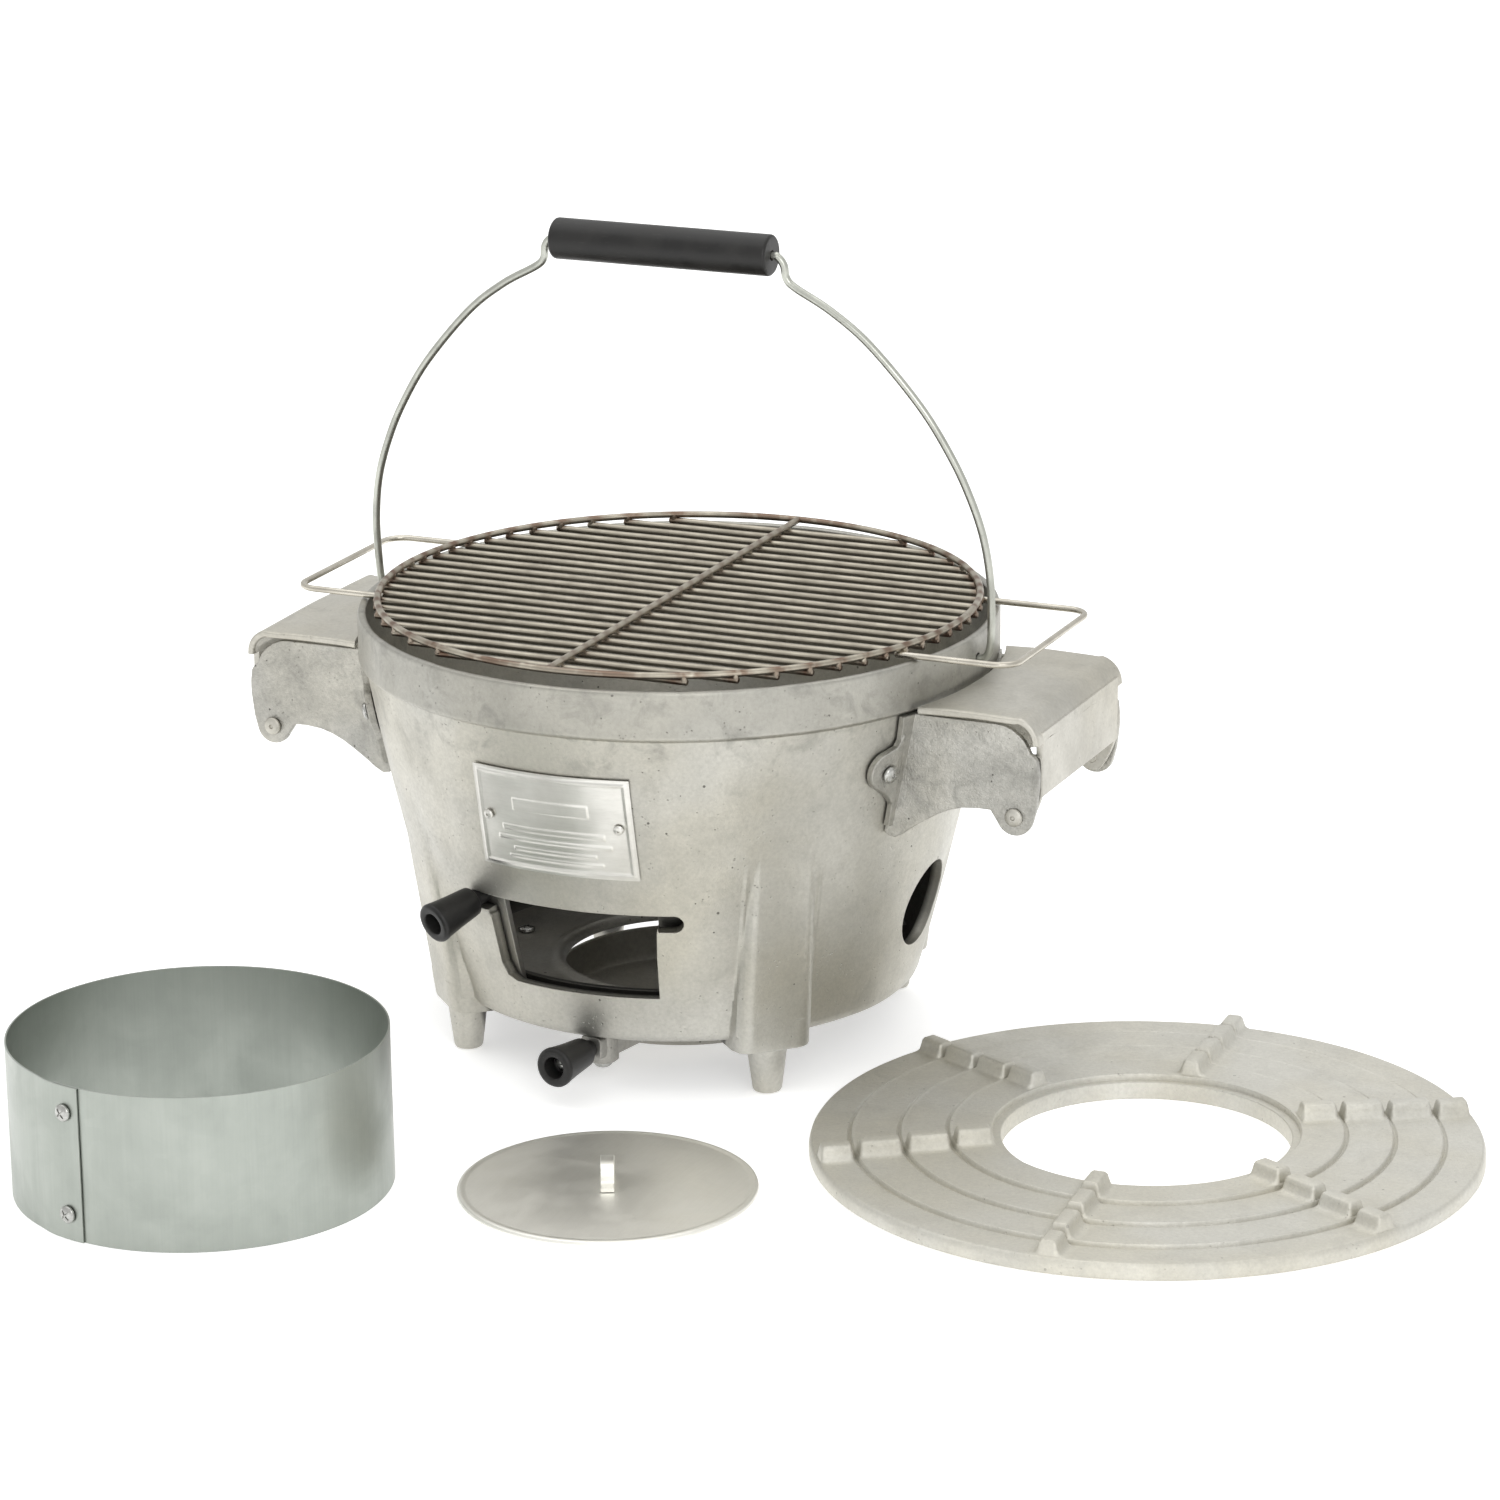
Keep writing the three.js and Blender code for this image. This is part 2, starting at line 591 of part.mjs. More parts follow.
function knobScrew(neck, grip) {
  const seat = neck + KNOB_LENGTH - KNOB_BORE_DEPTH + GAP;
  const screw = turned([[0, -grip], [KNOB_SCREW_R, -grip], [KNOB_SCREW_R, seat], [3.9, seat], [3.9, seat + 1.6],
    [2.6, seat + 2.6], [0, seat + 2.6]], SMALL);
  return cut(screw, new THREE.BoxGeometry(9, 1, 2.2).translate(0, 0, seat + 2.6));
}

// Turns a group so that its +Z axis points out along an azimuth, dropped by an angle.
function pointOut(parts, azimuth, drop) {
  const out = vector(azimuth, Math.cos(drop), -Math.sin(drop));
  parts.quaternion.setFromUnitVectors(new THREE.Vector3(0, 0, 1), out);
  return parts;
}

const shutterFace = -WALL - SHUTTER_PLAY;

function draftShutter() {
  const right = -SLOT_END + SHUTTER_LEAD;
  const plate = sector(layer(DOOR_LOW - RAIL_AT + SHUTTER_PLAY, DOOR_HIGH + RAIL_AT - SHUTTER_PLAY,
    shutterFace - SHUTTER, shutterFace), right - SHUTTER_SPAN, right, 6);
  return cut(plate, wallHole(-SLOT_END, slotZ, bore(KNOB_SCREW_R, GAP, 8), 25));
}

function shutterKnob() {
  const lean = wallLean(slotZ);
  const neck = WALL + SHUTTER_PLAY + 2.5;
  const parts = group(piece('shutter_knob', knobBody(neck), finishes.black),
    piece('shutter_knob_screw', knobScrew(neck, SHUTTER + 2 * GAP), finishes.screw));
  pointOut(parts, -SLOT_END, lean);
  const from = shutterFace + GAP;
  parts.position.copy(vector(-SLOT_END, wallR(slotZ) + from * Math.cos(lean), slotZ - from * Math.sin(lean)));
  return parts;
}

function panKnob() {
  const parts = group(piece('damper_knob', knobBody(6.5), finishes.black),
    piece('damper_knob_screw', knobScrew(6.5, 5.5), finishes.screw));
  pointOut(parts, PAN_KNOB_TURN, 0);
  parts.position.copy(panKnobMount()).addScaledVector(vector(PAN_KNOB_TURN, 1, 0), LUG_R + 3 + GAP);
  return parts;
}

// ---------------------------------------------------------------- nameplate

function namePlate() {
  const cover = sector(layer(PLATE.low, PLATE.high, 0.6, 0.6 + PLATE.thick), -24, 24, 4);
  const trim = new THREE.BoxGeometry(PLATE.width, 200, 400).translate(0, -100, 100);
  return cut(common(cover, trim), ...[-1, 1].map(plateHole));
}

function plateRivet(side) {
  const azimuth = rivetAzimuth(side);
  const seat = 0.6 + PLATE.thick + GAP;
  const rivet = piece(side < 0 ? 'name_plate_rivet_left' : 'name_plate_rivet_right',
    turned([[0, -4], [RIVET.shankR, -4], [RIVET.shankR, seat], [RIVET.headR, seat], [RIVET.headR * 0.8, seat + 1.1],
      [0, seat + 1.6]], 8), finishes.plate);
  pointOut(rivet, azimuth, wallLean(RIVET.z));
  rivet.position.copy(vector(azimuth, wallR(RIVET.z), RIVET.z));
  return rivet;
}

// ---------------------------------------------------------------- side brackets and their lids
// Both are drawn on the right (+X) side; the left ones are turned half round.

function cheekOutline() {
  const lobe = [];
  for (let a = 200; a <= 350; a += 30) {
    lobe.push([LOBE_R * Math.cos(rad(a)), LOBE_R * Math.sin(rad(a))]);
  }
  const top = CHEEK_TOP - PIN.z;
  const outline = [[-76.5, top], [-76.5, -16.6], [-63.5, -18.2], [-58.5, -16.1], [-45.5, -7.1], [-33.5, -0.8],
    [-23.5, 1.8], [-12.5, 2.4], ...lobe, [11.7, 10.4], [12.5, 21.4], [10.9, 30.4], [6.7, 33.9], [3, 40.4],
    [-2.5, 44.6], [-8.5, top]];
  return outline.map(([x, z]) => [PIN.x + x, PIN.z + z]);
}

function bracket() {
  const cheekMiddle = CHEEK_Y - CHEEK / 2;
  const cheeks = [-1, 1].map((side) => slabXZ(cheekOutline(), side * cheekMiddle, CHEEK));
  const half = cheekAzimuth + FLANGE.back;
  const back = sector(layer(PIN.z - 11.6, CHEEK_TOP, -2, CHEEK), 90 - half, 90 + half, 6);
  const flanges = [-1, 1].map((side) => sector(layer(FLANGE_SCREW_Z - 15, FLANGE_SCREW_Z + 17, -2, CHEEK + 0.4),
    90 + side * (cheekAzimuth + FLANGE.start), 90 + side * (cheekAzimuth + FLANGE.end), 6));
  const pins = rod(bore(PIN_R), 2 * CHEEK_Y + 10).translate(PIN.x, 0, PIN.z);
  const screws = [-1, 1].map((side) => wallHole(90 + side * flangeScrew, FLANGE_SCREW_Z, bore(SCREW_R, GAP, 8), 8));
  return cut(join(...cheeks, back, ...flanges), wallEnvelope(0.5), pins, ...screws);
}

function bracketLid() {
  const under = CHEEK_TOP + 0.7;
  const over = under + LID;
  const corner = (offset) => {
    const points = [];
    for (let a = 90; a >= 0; a -= 22.5) {
      points.push([LID_OUT - 12 + (12 + offset) * Math.cos(rad(a)), over - 12 + (12 + offset) * Math.sin(rad(a))]);
    }
    return points;
  };
  const inside = PIN.x - 71.5;
  const wide = slabXZ([[inside, over], ...corner(0), [LID_OUT, LID_SIDE], [LID_OUT - LID + 0.6, LID_SIDE],
    ...corner(-LID).reverse(), [inside, under]], 0, 2 * LID_HALF_WIDE);
  const innerHalf = CHEEK_Y - CHEEK - 0.6;
  const lap = LID_SIDE + 2;
  const plate = slabXZ([[LID_OUT, lap], [LID_OUT, LID_LOW], [LID_OUT - LID, LID_LOW], [LID_OUT - LID, lap]], 0,
    2 * innerHalf);
  const earTop = LID_SIDE - 8;
  const ear = slabXZ([[LID_OUT - 0.5, earTop], [LID_OUT - 0.5, LID_LOW - 1], [PIN.x + 7.5, PIN.z - 1],
    [PIN.x + 4.5, PIN.z - 6], [PIN.x, PIN.z - 7.5], [PIN.x - 5.5, PIN.z - 5], [PIN.x - 7.5, PIN.z + 1],
    [PIN.x - 5, PIN.z + 8], [PIN.x + 6, earTop]], 0, 4);
  const ears = [-1, 1].map((side) => ear.clone().translate(0, side * (innerHalf - 2), 0));
  const pins = rod(bore(PIN_R, PLAY), 2 * CHEEK_Y).translate(PIN.x, 0, PIN.z);
  return cut(join(wide, plate, ...ears), wallEnvelope(LID_BAND_GAP), pins);
}

function hingePin(side) {
  const inner = CHEEK_Y - CHEEK - 5.5;
  const outer = CHEEK_Y + GAP;
  const pin = turned([[0, inner], [PIN_R, inner], [PIN_R, outer], [PIN_R + 1.5, outer], [PIN_R + 1.2, outer + 1.8],
    [0, outer + 2.4]], SMALL);
  return pin.rotateX(side > 0 ? -Math.PI / 2 : Math.PI / 2).translate(PIN.x, 0, PIN.z);
}

function sideSet(word) {
  const parts = group(piece(`handle_bracket_${word}`, bracket(), finishes.casting),
    piece(`handle_lid_${word}`, bracketLid(), finishes.smoothCast));
  for (const [place, side] of [['front', -1], ['back', 1]]) {
    const turn = word === 'left' ? -side : side;
    parts.add(piece(`handle_pin_${word}_${place}`, hingePin(turn), finishes.casting));
    const screw = piece(`bracket_screw_${word}_${place}`, roundScrew(SCREW_HEAD_R, 2.6, SCREW_R, CHEEK + 4), finishes.screw);
    const azimuth = 90 + turn * flangeScrew;
    const lean = wallLean(FLANGE_SCREW_Z);
    pointOut(screw, azimuth, lean);
    const out = CHEEK + 0.4 + 2 * GAP;
    screw.position.copy(vector(azimuth, wallR(FLANGE_SCREW_Z) + out * Math.cos(lean),
      FLANGE_SCREW_Z - out * Math.sin(lean)));
    parts.add(screw);
  }
  if (word === 'left') parts.rotation.z = Math.PI;
  return parts;
}

// ---------------------------------------------------------------- bail

// Half of the bail, from its grip to its hook, as [share of the way out from the grip's end, above the pivot].
const bailBow = [[-0.24412, 195], [0, 195], [0.03617, 194.3], [0.06329, 190.5], [0.07414, 184], [0.11754, 179.5],
  [0.28029, 169.5], [0.46112, 154], [0.68716, 126], [0.8273, 102], [0.9132, 82], [0.97197, 62], [1, 40], [1, 18],
  [0.99096, 6], [0.96383, 0.8], [0.90416, 0], [0.84991, 0]];
const bailHalf = bailBow.map(([share, z]) => [
  THREE.MathUtils.lerp(GRIP.length / 2 - 1, BAND_R + BAIL_CLEAR, share), z - 195 + GRIP.height]);

function bailWire() {
  const right = bailHalf.map(([x, z]) => new THREE.Vector3(x, 0, z));
  const left = bailHalf.toReversed().map(([x, z]) => new THREE.Vector3(-x, 0, z));
  const curve = new THREE.CatmullRomCurve3([...left, ...right], false, 'centripetal');
  return wire(curve.getPoints(2 * (curve.points.length - 1)), BAIL_R);
}

function bailGrip() {
  const half = GRIP.length / 2;
  const hole = bore(BAIL_R, GRIP.play, KNOB_SIDES);
  return turned([[hole, -half], [GRIP.r - 1.4, -half], [GRIP.r, -half + 1.6], [GRIP.r, half - 1.6],
    [GRIP.r - 1.4, half], [hole, half]], KNOB_SIDES).rotateY(Math.PI / 2).translate(0, 0, GRIP.height);
}

function bail() {
  const parts = group(piece('bail_wire', bailWire(), finishes.wire), piece('bail_grip', bailGrip(), finishes.black));
  parts.position.z = PIVOT_Z;
  parts.rotation.x = rad(BAIL_TILT);
  return parts;
}

// ---------------------------------------------------------------- cooking grate

const loopZ = RIM_Z + GAP + LOOP_WIRE;
const barZ = loopZ + 0.4;
const ringZ = barZ + 2 * GRATE_WIRE - 0.25;

function cookingGrate() {
  const circle = [];
  for (let i = 0; i < WIRE_SIDES; i++) {
    const a = (i / WIRE_SIDES) * 2 * Math.PI;
    circle.push([GRATE_R + GRATE_WIRE * Math.cos(a), ringZ + GRATE_WIRE * Math.sin(a)]);
  }
  const bars = [];
  for (let i = -BAR_SIDE; i <= BAR_SIDE; i++) {
    const y = i * BAR_PITCH;
    const reach = Math.sqrt(GRATE_R ** 2 - y * y) + 1.8;
    bars.push(rodX(GRATE_WIRE, -reach, reach, y, barZ, BAR_SIDES));
  }
  const cross = rodBetween(GRATE_WIRE, new THREE.Vector3(0, -GRATE_R, ringZ), new THREE.Vector3(0, GRATE_R, ringZ),
    BAR_SIDES);
  return join(turned(circle), cross, ...bars);
}

function grateLoop(reach) {
  const [root, bend] = [GRATE_R - 11, 9];
  const points = [];
  for (const side of [-1, 1]) {
    const corner = [];
    for (let a = 0; a <= 90; a += 22.5) {
      const x = reach - bend + bend * Math.sin(rad(a));
      corner.push(new THREE.Vector3(x, side * (LOOP_HALF - bend + bend * Math.cos(rad(a))), loopZ));
    }
    const leg = [new THREE.Vector3(root, side * LOOP_HALF, loopZ), ...corner];
    points.push(...(side < 0 ? leg : leg.reverse()));
  }
  return wire(points, LOOP_WIRE);
}

// ---------------------------------------------------------------- sheet ring

// The sheet's plan: one turn at a steady radius, its end stepped out over its start.
function sheetRing() {
  const lapDegrees = THREE.MathUtils.radToDeg(SHEET.lap / SHEET.r);
  const ramp = 10;
  const total = 360 + lapDegrees;
  const steps = 50;
  const radius = (turn) => {
    const out = THREE.MathUtils.smoothstep(turn, 360 - ramp, 360 - 1);
    return SHEET.r - SHEET.thick - GAP + out * (SHEET.thick + GAP);
  };
  const edge = (offset) => Array.from({ length: steps + 1 }, (_, i) => {
    const turn = (total * i) / steps;
    const p = vector(SHEET_SEAM + total - turn - 360, radius(total - turn) - offset, 0);
    return new THREE.Vector2(p.x, p.y);
  });
  const shape = new THREE.Shape([...edge(0), ...edge(SHEET.thick).reverse()]);
  const g = closed(new THREE.ExtrudeGeometry(shape, { depth: SHEET.height, bevelEnabled: false }));
  const holes = [0.17, 0.83].map((share) => sheetScrewAxis(share))
    .map(([at, out]) => rodBetween(bore(1.6, GAP, 8), at.clone().addScaledVector(out, -8), at.clone().addScaledVector(out, 8), 8));
  return cut(g, ...holes);
}

function sheetScrewAxis(share) {
  const azimuth = SHEET_SEAM + THREE.MathUtils.radToDeg(SHEET.lap / SHEET.r / 2);
  return [vector(azimuth, SHEET.r, share * SHEET.height), vector(azimuth, 1, 0)];
}

function panScrew() {
  const screw = turned([[0, -5.5], [1.6, -5.5], [1.6, 0], [4.3, 0], [4.2, 1.1], [3, 2.2], [0, 2.7]], SMALL);
  const slots = [new THREE.BoxGeometry(4.4, 1, 2), new THREE.BoxGeometry(1, 4.4, 2)];
  return cut(screw, ...slots.map((slot) => slot.translate(0, 0, 2.7)));
}

function nut() {
  const hexagon = upright(3.6, 2.4, 0, 0, 1.2, 6);
  return cut(hexagon, upright(bore(1.6), 10, 0, 0, 0));
}

function sheetSet() {
  const parts = group(piece('charcoal_ring', sheetRing(), finishes.zinc));
  for (const [word, share] of [['low', 0.17], ['high', 0.83]]) {
    const [at, out] = sheetScrewAxis(share);
    const screw = piece(`ring_screw_${word}`, panScrew(), finishes.screw);
    screw.quaternion.setFromUnitVectors(new THREE.Vector3(0, 0, 1), out);
    screw.position.copy(at).addScaledVector(out, GAP);
    const inside = piece(`ring_nut_${word}`, nut(), finishes.screw);
    inside.quaternion.copy(screw.quaternion);
    inside.position.copy(at).addScaledVector(out, -2 * SHEET.thick - 2 * GAP - 2.4 - 0.2);
    parts.add(screw, inside);
  }
  parts.position.set(SHEET_AT.x, SHEET_AT.y, 0);
  return parts;
}

// ---------------------------------------------------------------- small round lid

const lidCrown = 5.2;

function roundLid() {
  const r = LID_ROUND_R;
  return turned([[0, lidCrown - 2], [12, lidCrown - 2], [r - 4.5, 0], [r - 0.8, 0], [r, 1.2], [r - 1.2, 2.8],
    [r - 3, 2.6], [12, lidCrown], [0, lidCrown]], 40);
}

function lidStrap() {
  const half = STRAP.length / 2;
  const { thick, height } = STRAP;
  const outline = [[-half, 0], [-half + 8, 0], [-half + 8.6, height - thick - 2], [-half + 10.5, height - thick],
    [half - 10.5, height - thick], [half - 8.6, height - thick - 2], [half - 8, 0], [half, 0], [half, thick],
    [half - 6, thick], [half - 6.8, height - 2.5], [half - 9.5, height], [-half + 9.5, height],
    [-half + 6.8, height - 2.5], [-half + 6, thick], [-half, thick]];
  return slabXZ(outline, 0, STRAP.width);
}

function lidSet() {
  const strap = piece('snuffer_lid_strap', lidStrap(), finishes.plate);
  strap.rotation.z = Math.PI / 2;
  strap.position.z = lidCrown + GAP;
  const parts = group(piece('snuffer_lid', roundLid(), finishes.plate), strap);
  parts.position.set(LID_ROUND_AT.x, LID_ROUND_AT.y, 0);
  parts.rotation.z = rad(STRAP.turn);
  return parts;
}

// ---------------------------------------------------------------- pot ring

function terraceZ(index) {
  return RING_EDGE + index * RING_STEP;
}

function ringLug(index, azimuth) {
  const outer = RING_TERRACES[index] - 1.6;
  const inner = RING_TERRACES[index + 1] + 1.6;
  const low = terraceZ(index) - 0.6;
  const high = terraceZ(index) + 7;
  const ring = (z, half, trim) => [[-half, inner + trim], [half, inner + trim], [half, outer - trim],
    [-half, outer - trim]].map(([u, v]) => vector(azimuth, v, z).add(vector(azimuth + 90, u, 0)));
  return loft([ring(low, 7.5, 0), ring(high - 1.5, 4.4, 1.2), ring(high, 3, 2)]);
}

function potRing() {
  const foot = 3.4;
  const steps = RING_TERRACES.slice(0, -1).flatMap((r, i) => {
    const outerEdge = i === 0 ? [[r, RING_EDGE - 0.8], [r - 0.8, RING_EDGE]] : [[r - 0.4, terraceZ(i)]];
    return [...outerEdge, [RING_TERRACES[i + 1], terraceZ(i)]];
  });
  const seat = terraceZ(3) - 3;
  const body = turned([[RING_HOLE_R, 0], [RING_HOLE_R + 9, 0], [RING_HOLE_R + 9.5, foot], [RING_R - 10.5, foot],
    [RING_R - 10, 0], [RING_R, 0], ...steps, [RING_TERRACES[4] - 0.3, seat], [RING_HOLE_R, seat]]);
  const lugs = [];
  for (let rib = 0; rib < 6; rib++) {
    for (let index = 0; index < 4; index++) lugs.push(ringLug(index, 90 + RING_RIB_TURN + rib * 60));
  }
  return join(body, ...lugs).translate(RING_AT.x, RING_AT.y, 0);
}

// ---------------------------------------------------------------- the assembly

const grill = group(
  piece('fire_pot', firePot(), finishes.casting),
  piece('ash_floor', ashFloor(), finishes.casting),
  piece('ash_pan', ashPan(), finishes.casting),
  piece('damper_pivot_bolt', pivotBolt(), finishes.screw),
  panKnob(),
  piece('charcoal_grate', charcoalGrate(), finishes.iron),
  piece('draft_shutter', draftShutter(), finishes.casting),
  shutterKnob(),
  piece('name_plate', namePlate(), finishes.plate),
  plateRivet(-1),
  plateRivet(1),
  sideSet('left'),
  sideSet('right'),
  bail(),
  piece('cooking_grate', cookingGrate(), finishes.steel),
  piece('grate_loop_right', grateLoop(LOOP_REACH.right), finishes.steel),
  piece('grate_loop_left', grateLoop(LOOP_REACH.left).rotateZ(Math.PI), finishes.steel),
  sheetSet(),
  lidSet(),
  piece('pot_ring', potRing(), finishes.casting),
);

for (const [word, side] of [['left', -1], ['right', 1]]) {
  const screw = piece(`ash_floor_screw_${word}`, roundScrew(SCREW_HEAD_R, 2.6, SCREW_R, ASH_FLOOR + LEDGE + 1), finishes.screw);
  screw.position.set(side * FLOOR_SCREW_R, 0, ashFloorLow + ASH_FLOOR + GAP);
  grill.add(screw);
}

// The origin is the middle of the whole set's footprint, on the surface that it stands on.
const bounds = new THREE.Box3().setFromObject(grill);
const middle = bounds.getCenter(new THREE.Vector3());
grill.position.set(-middle.x, -middle.y, -bounds.min.z);

export default grill;
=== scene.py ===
import math
import random

import bmesh
import bpy
from mathutils import Matrix, Vector, noise


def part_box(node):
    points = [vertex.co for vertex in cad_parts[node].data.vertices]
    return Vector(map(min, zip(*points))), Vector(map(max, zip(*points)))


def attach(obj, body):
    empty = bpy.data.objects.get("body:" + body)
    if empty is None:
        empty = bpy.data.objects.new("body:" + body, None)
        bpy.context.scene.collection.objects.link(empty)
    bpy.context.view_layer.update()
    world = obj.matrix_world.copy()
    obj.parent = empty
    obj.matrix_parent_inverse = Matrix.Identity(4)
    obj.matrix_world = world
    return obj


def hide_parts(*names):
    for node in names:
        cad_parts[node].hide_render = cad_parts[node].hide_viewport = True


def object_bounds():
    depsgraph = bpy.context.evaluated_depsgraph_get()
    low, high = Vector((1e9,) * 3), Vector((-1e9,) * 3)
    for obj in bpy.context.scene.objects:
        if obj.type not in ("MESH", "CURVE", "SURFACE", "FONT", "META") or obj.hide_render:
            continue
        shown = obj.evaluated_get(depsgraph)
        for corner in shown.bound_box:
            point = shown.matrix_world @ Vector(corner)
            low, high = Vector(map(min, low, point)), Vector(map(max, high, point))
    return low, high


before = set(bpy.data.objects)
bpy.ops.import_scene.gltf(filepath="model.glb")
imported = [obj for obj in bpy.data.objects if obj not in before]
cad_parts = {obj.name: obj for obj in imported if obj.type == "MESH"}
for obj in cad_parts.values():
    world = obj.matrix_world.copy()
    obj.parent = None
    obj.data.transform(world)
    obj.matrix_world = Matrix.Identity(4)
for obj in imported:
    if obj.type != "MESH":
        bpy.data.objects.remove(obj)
cad_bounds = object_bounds()

# Pieces are drawn in millimetres round an origin of their own: the pot's axis, or the middle of a loose piece.
# Azimuths are in degrees from -Y (the front) towards +X.
MM = 0.001


def middle(node):
    """The foot of a CAD node's axis: the middle of its box, on the floor, in metres."""
    low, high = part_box(node)
    return Vector(((low.x + high.x) / 2, (low.y + high.y) / 2, 0))


def half_width(node):
    """Half of a CAD node's extent along X, in millimetres."""
    low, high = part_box(node)
    return (high.x - low.x) / 2 / MM


def heights(node):
    """Lowest and highest point of a CAD node, in millimetres."""
    low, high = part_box(node)
    return low.z / MM, high.z / MM


POT = middle("fire_pot")
SHEET = middle("charcoal_ring")
SMALL_LID = middle("snuffer_lid")
RING = middle("pot_ring")
RIM_Z = heights("fire_pot")[1]
BAND_R = half_width("fire_pot")

# ---- mesh tools


def out(azimuth, r, z=0.0):
    """The point at an azimuth, a distance from the axis and a height."""
    a = math.radians(azimuth)
    return Vector((r * math.sin(a), -r * math.cos(a), z))


def arc(cx, cy, r, start, end, steps):
    """Points on an arc, in degrees, both ends included."""
    angles = [math.radians(start + (end - start) * i / steps) for i in range(steps + 1)]
    return [(cx + r * math.cos(a), cy + r * math.sin(a)) for a in angles]


def rounded(points, radius, steps=4):
    """A closed outline with each corner rounded; radius is one number, or one for each corner."""
    radii = [radius] * len(points) if isinstance(radius, (int, float)) else radius
    result = []
    for i, (point, r) in enumerate(zip(points, radii)):
        here = Vector(point)
        before = Vector(points[i - 1]) - here
        after = Vector(points[(i + 1) % len(points)]) - here
        r = min(r, before.length * 0.49, after.length * 0.49)
        if r < 0.02:
            result.append(tuple(here))
            continue
        a = here + before.normalized() * r
        b = here + after.normalized() * r
        for k in range(steps + 1):
            t = k / steps
            result.append(tuple(a * (1 - t) ** 2 + here * 2 * t * (1 - t) + b * t * t))
    return result


def shell(points, faces, origin=POT):
    """A bmesh from points in millimetres round an origin, with its faces pointing out."""
    bm = bmesh.new()
    verts = [bm.verts.new(origin + Vector(p) * MM) for p in points]
    for face in faces:
        bm.faces.new([verts[i] for i in face])
    bmesh.ops.remove_doubles(bm, verts=bm.verts, dist=1e-6)
    bmesh.ops.recalc_face_normals(bm, faces=bm.faces)
    return bm


def grid_faces(rows, count, wrap_rows=False):
    """Quads between rows of count points each, every row closed on itself."""
    faces = []
    last = rows if wrap_rows else rows - 1
    for i in range(last):
        for j in range(count):
            a, b = i * count + j, i * count + (j + 1) % count
            c, d = ((i + 1) % rows) * count + (j + 1) % count, ((i + 1) % rows) * count + j
            faces.append((a, b, c, d))
    return faces


def turned(profile, sides=160, origin=POT, start=0.0, sweep=360.0):
    """A closed [r, z] profile turned about the origin's axis, all round or through part of a turn."""
    full = sweep >= 360
    rows = sides if full else sides + 1
    points = [out(start + sweep * i / sides, max(r, 0), z) for i in range(rows) for r, z in profile]
    faces = grid_faces(rows, len(profile), wrap_rows=full)
    if not full:
        faces += [tuple(range(len(profile))), tuple(range((rows - 1) * len(profile), rows * len(profile)))]
    bm = shell(points, faces, origin)
    bmesh.ops.dissolve_degenerate(bm, dist=1e-7, edges=bm.edges)
    return bm


def loft(rings, origin=POT):
    """Rings of points, one after another, closed at both ends."""
    count = len(rings[0])
    faces = grid_faces(len(rings), count)
    faces += [tuple(range(count)), tuple(range((len(rings) - 1) * count, len(rings) * count))]
    return shell([p for ring in rings for p in ring], faces, origin)


def slab(outline, y0, y1, origin=POT, edge=0.0):
    """An (x, z) outline given thickness along Y, its rims eased by edge."""
    if edge:
        inset = inset_outline(outline, edge)
        layers = [(inset, y0), (inset_outline(outline, edge * 0.3), y0 + edge * 0.3), (outline, y0 + edge),
                  (outline, y1 - edge), (inset_outline(outline, edge * 0.3), y1 - edge * 0.3), (inset, y1)]
    else:
        layers = [(outline, y0), (outline, y1)]
    return loft([[Vector((x, y, z)) for x, z in ring] for ring, y in layers], origin)


def inset_outline(outline, distance):
    """The outline moved inwards, point by point."""
    area = sum(a[0] * b[1] - b[0] * a[1] for a, b in zip(outline, outline[1:] + outline[:1]))
    side = 1 if area > 0 else -1
    result = []
    for i, point in enumerate(outline):
        here = Vector(point)
        a = (here - Vector(outline[i - 1])).normalized()
        b = (Vector(outline[(i + 1) % len(outline)]) - here).normalized()
        along = (a + b).normalized() if (a + b).length > 1e-6 else a
        result.append(tuple(here + Vector((-along.y, along.x)) * distance * side))
    return result


def tube(path, radius, sides=14, origin=POT, closed=False, caps=0.35):
    """A round wire along a path, with slightly rounded ends; radius is a number or one for each point."""
    path = [Vector(p) for p in path]
    radii = [radius] * len(path) if isinstance(radius, (int, float)) else list(radius)
    count = len(path)
    tangents = []
    for i in range(count):
        before = path[i - 1] if closed or i else path[0]
        after = path[(i + 1) % count] if closed or i + 1 < count else path[-1]
        tangents.append((after - before).normalized())
    normal = tangents[0].orthogonal().normalized()
    frames = []
    for i, tangent in enumerate(tangents):
        if i:
            normal = (normal - tangent * normal.dot(tangent)).normalized()
        frames.append((normal.copy(), tangent.cross(normal)))
    rows = list(zip(path, radii, frames))
    if not closed:
        first, last = radii[0] * caps, radii[-1] * caps
        rows = [(path[0] - tangents[0] * first, radii[0] * 0.7, frames[0])] + rows
        rows += [(path[-1] + tangents[-1] * last, radii[-1] * 0.7, frames[-1])]
    points = []
    for centre, r, (u, v) in rows:
        for k in range(sides):
            a = 2 * math.pi * k / sides
            points.append(centre + u * r * math.cos(a) + v * r * math.sin(a))
    faces = grid_faces(len(rows), sides, wrap_rows=closed)
    if not closed:
        faces += [tuple(range(sides)), tuple(range((len(rows) - 1) * sides, len(rows) * sides))]
    return shell(points, faces, origin)


def smooth_path(points, per_span=8):
    """A Catmull-Rom curve through the points."""
    pts = [Vector(p) for p in points]
    pts = [pts[0] * 2 - pts[1]] + pts + [pts[-1] * 2 - pts[-2]]
    result = []
    for i in range(1, len(pts) - 2):
        a, b, c, d = pts[i - 1:i + 3]
        for k in range(per_span):
            t = k / per_span
            result.append(0.5 * ((2 * b) + (c - a) * t + (2 * a - 5 * b + 4 * c - d) * t * t
                                 + (3 * b - a - 3 * c + d) * t ** 3))
    return result + [pts[-2]]


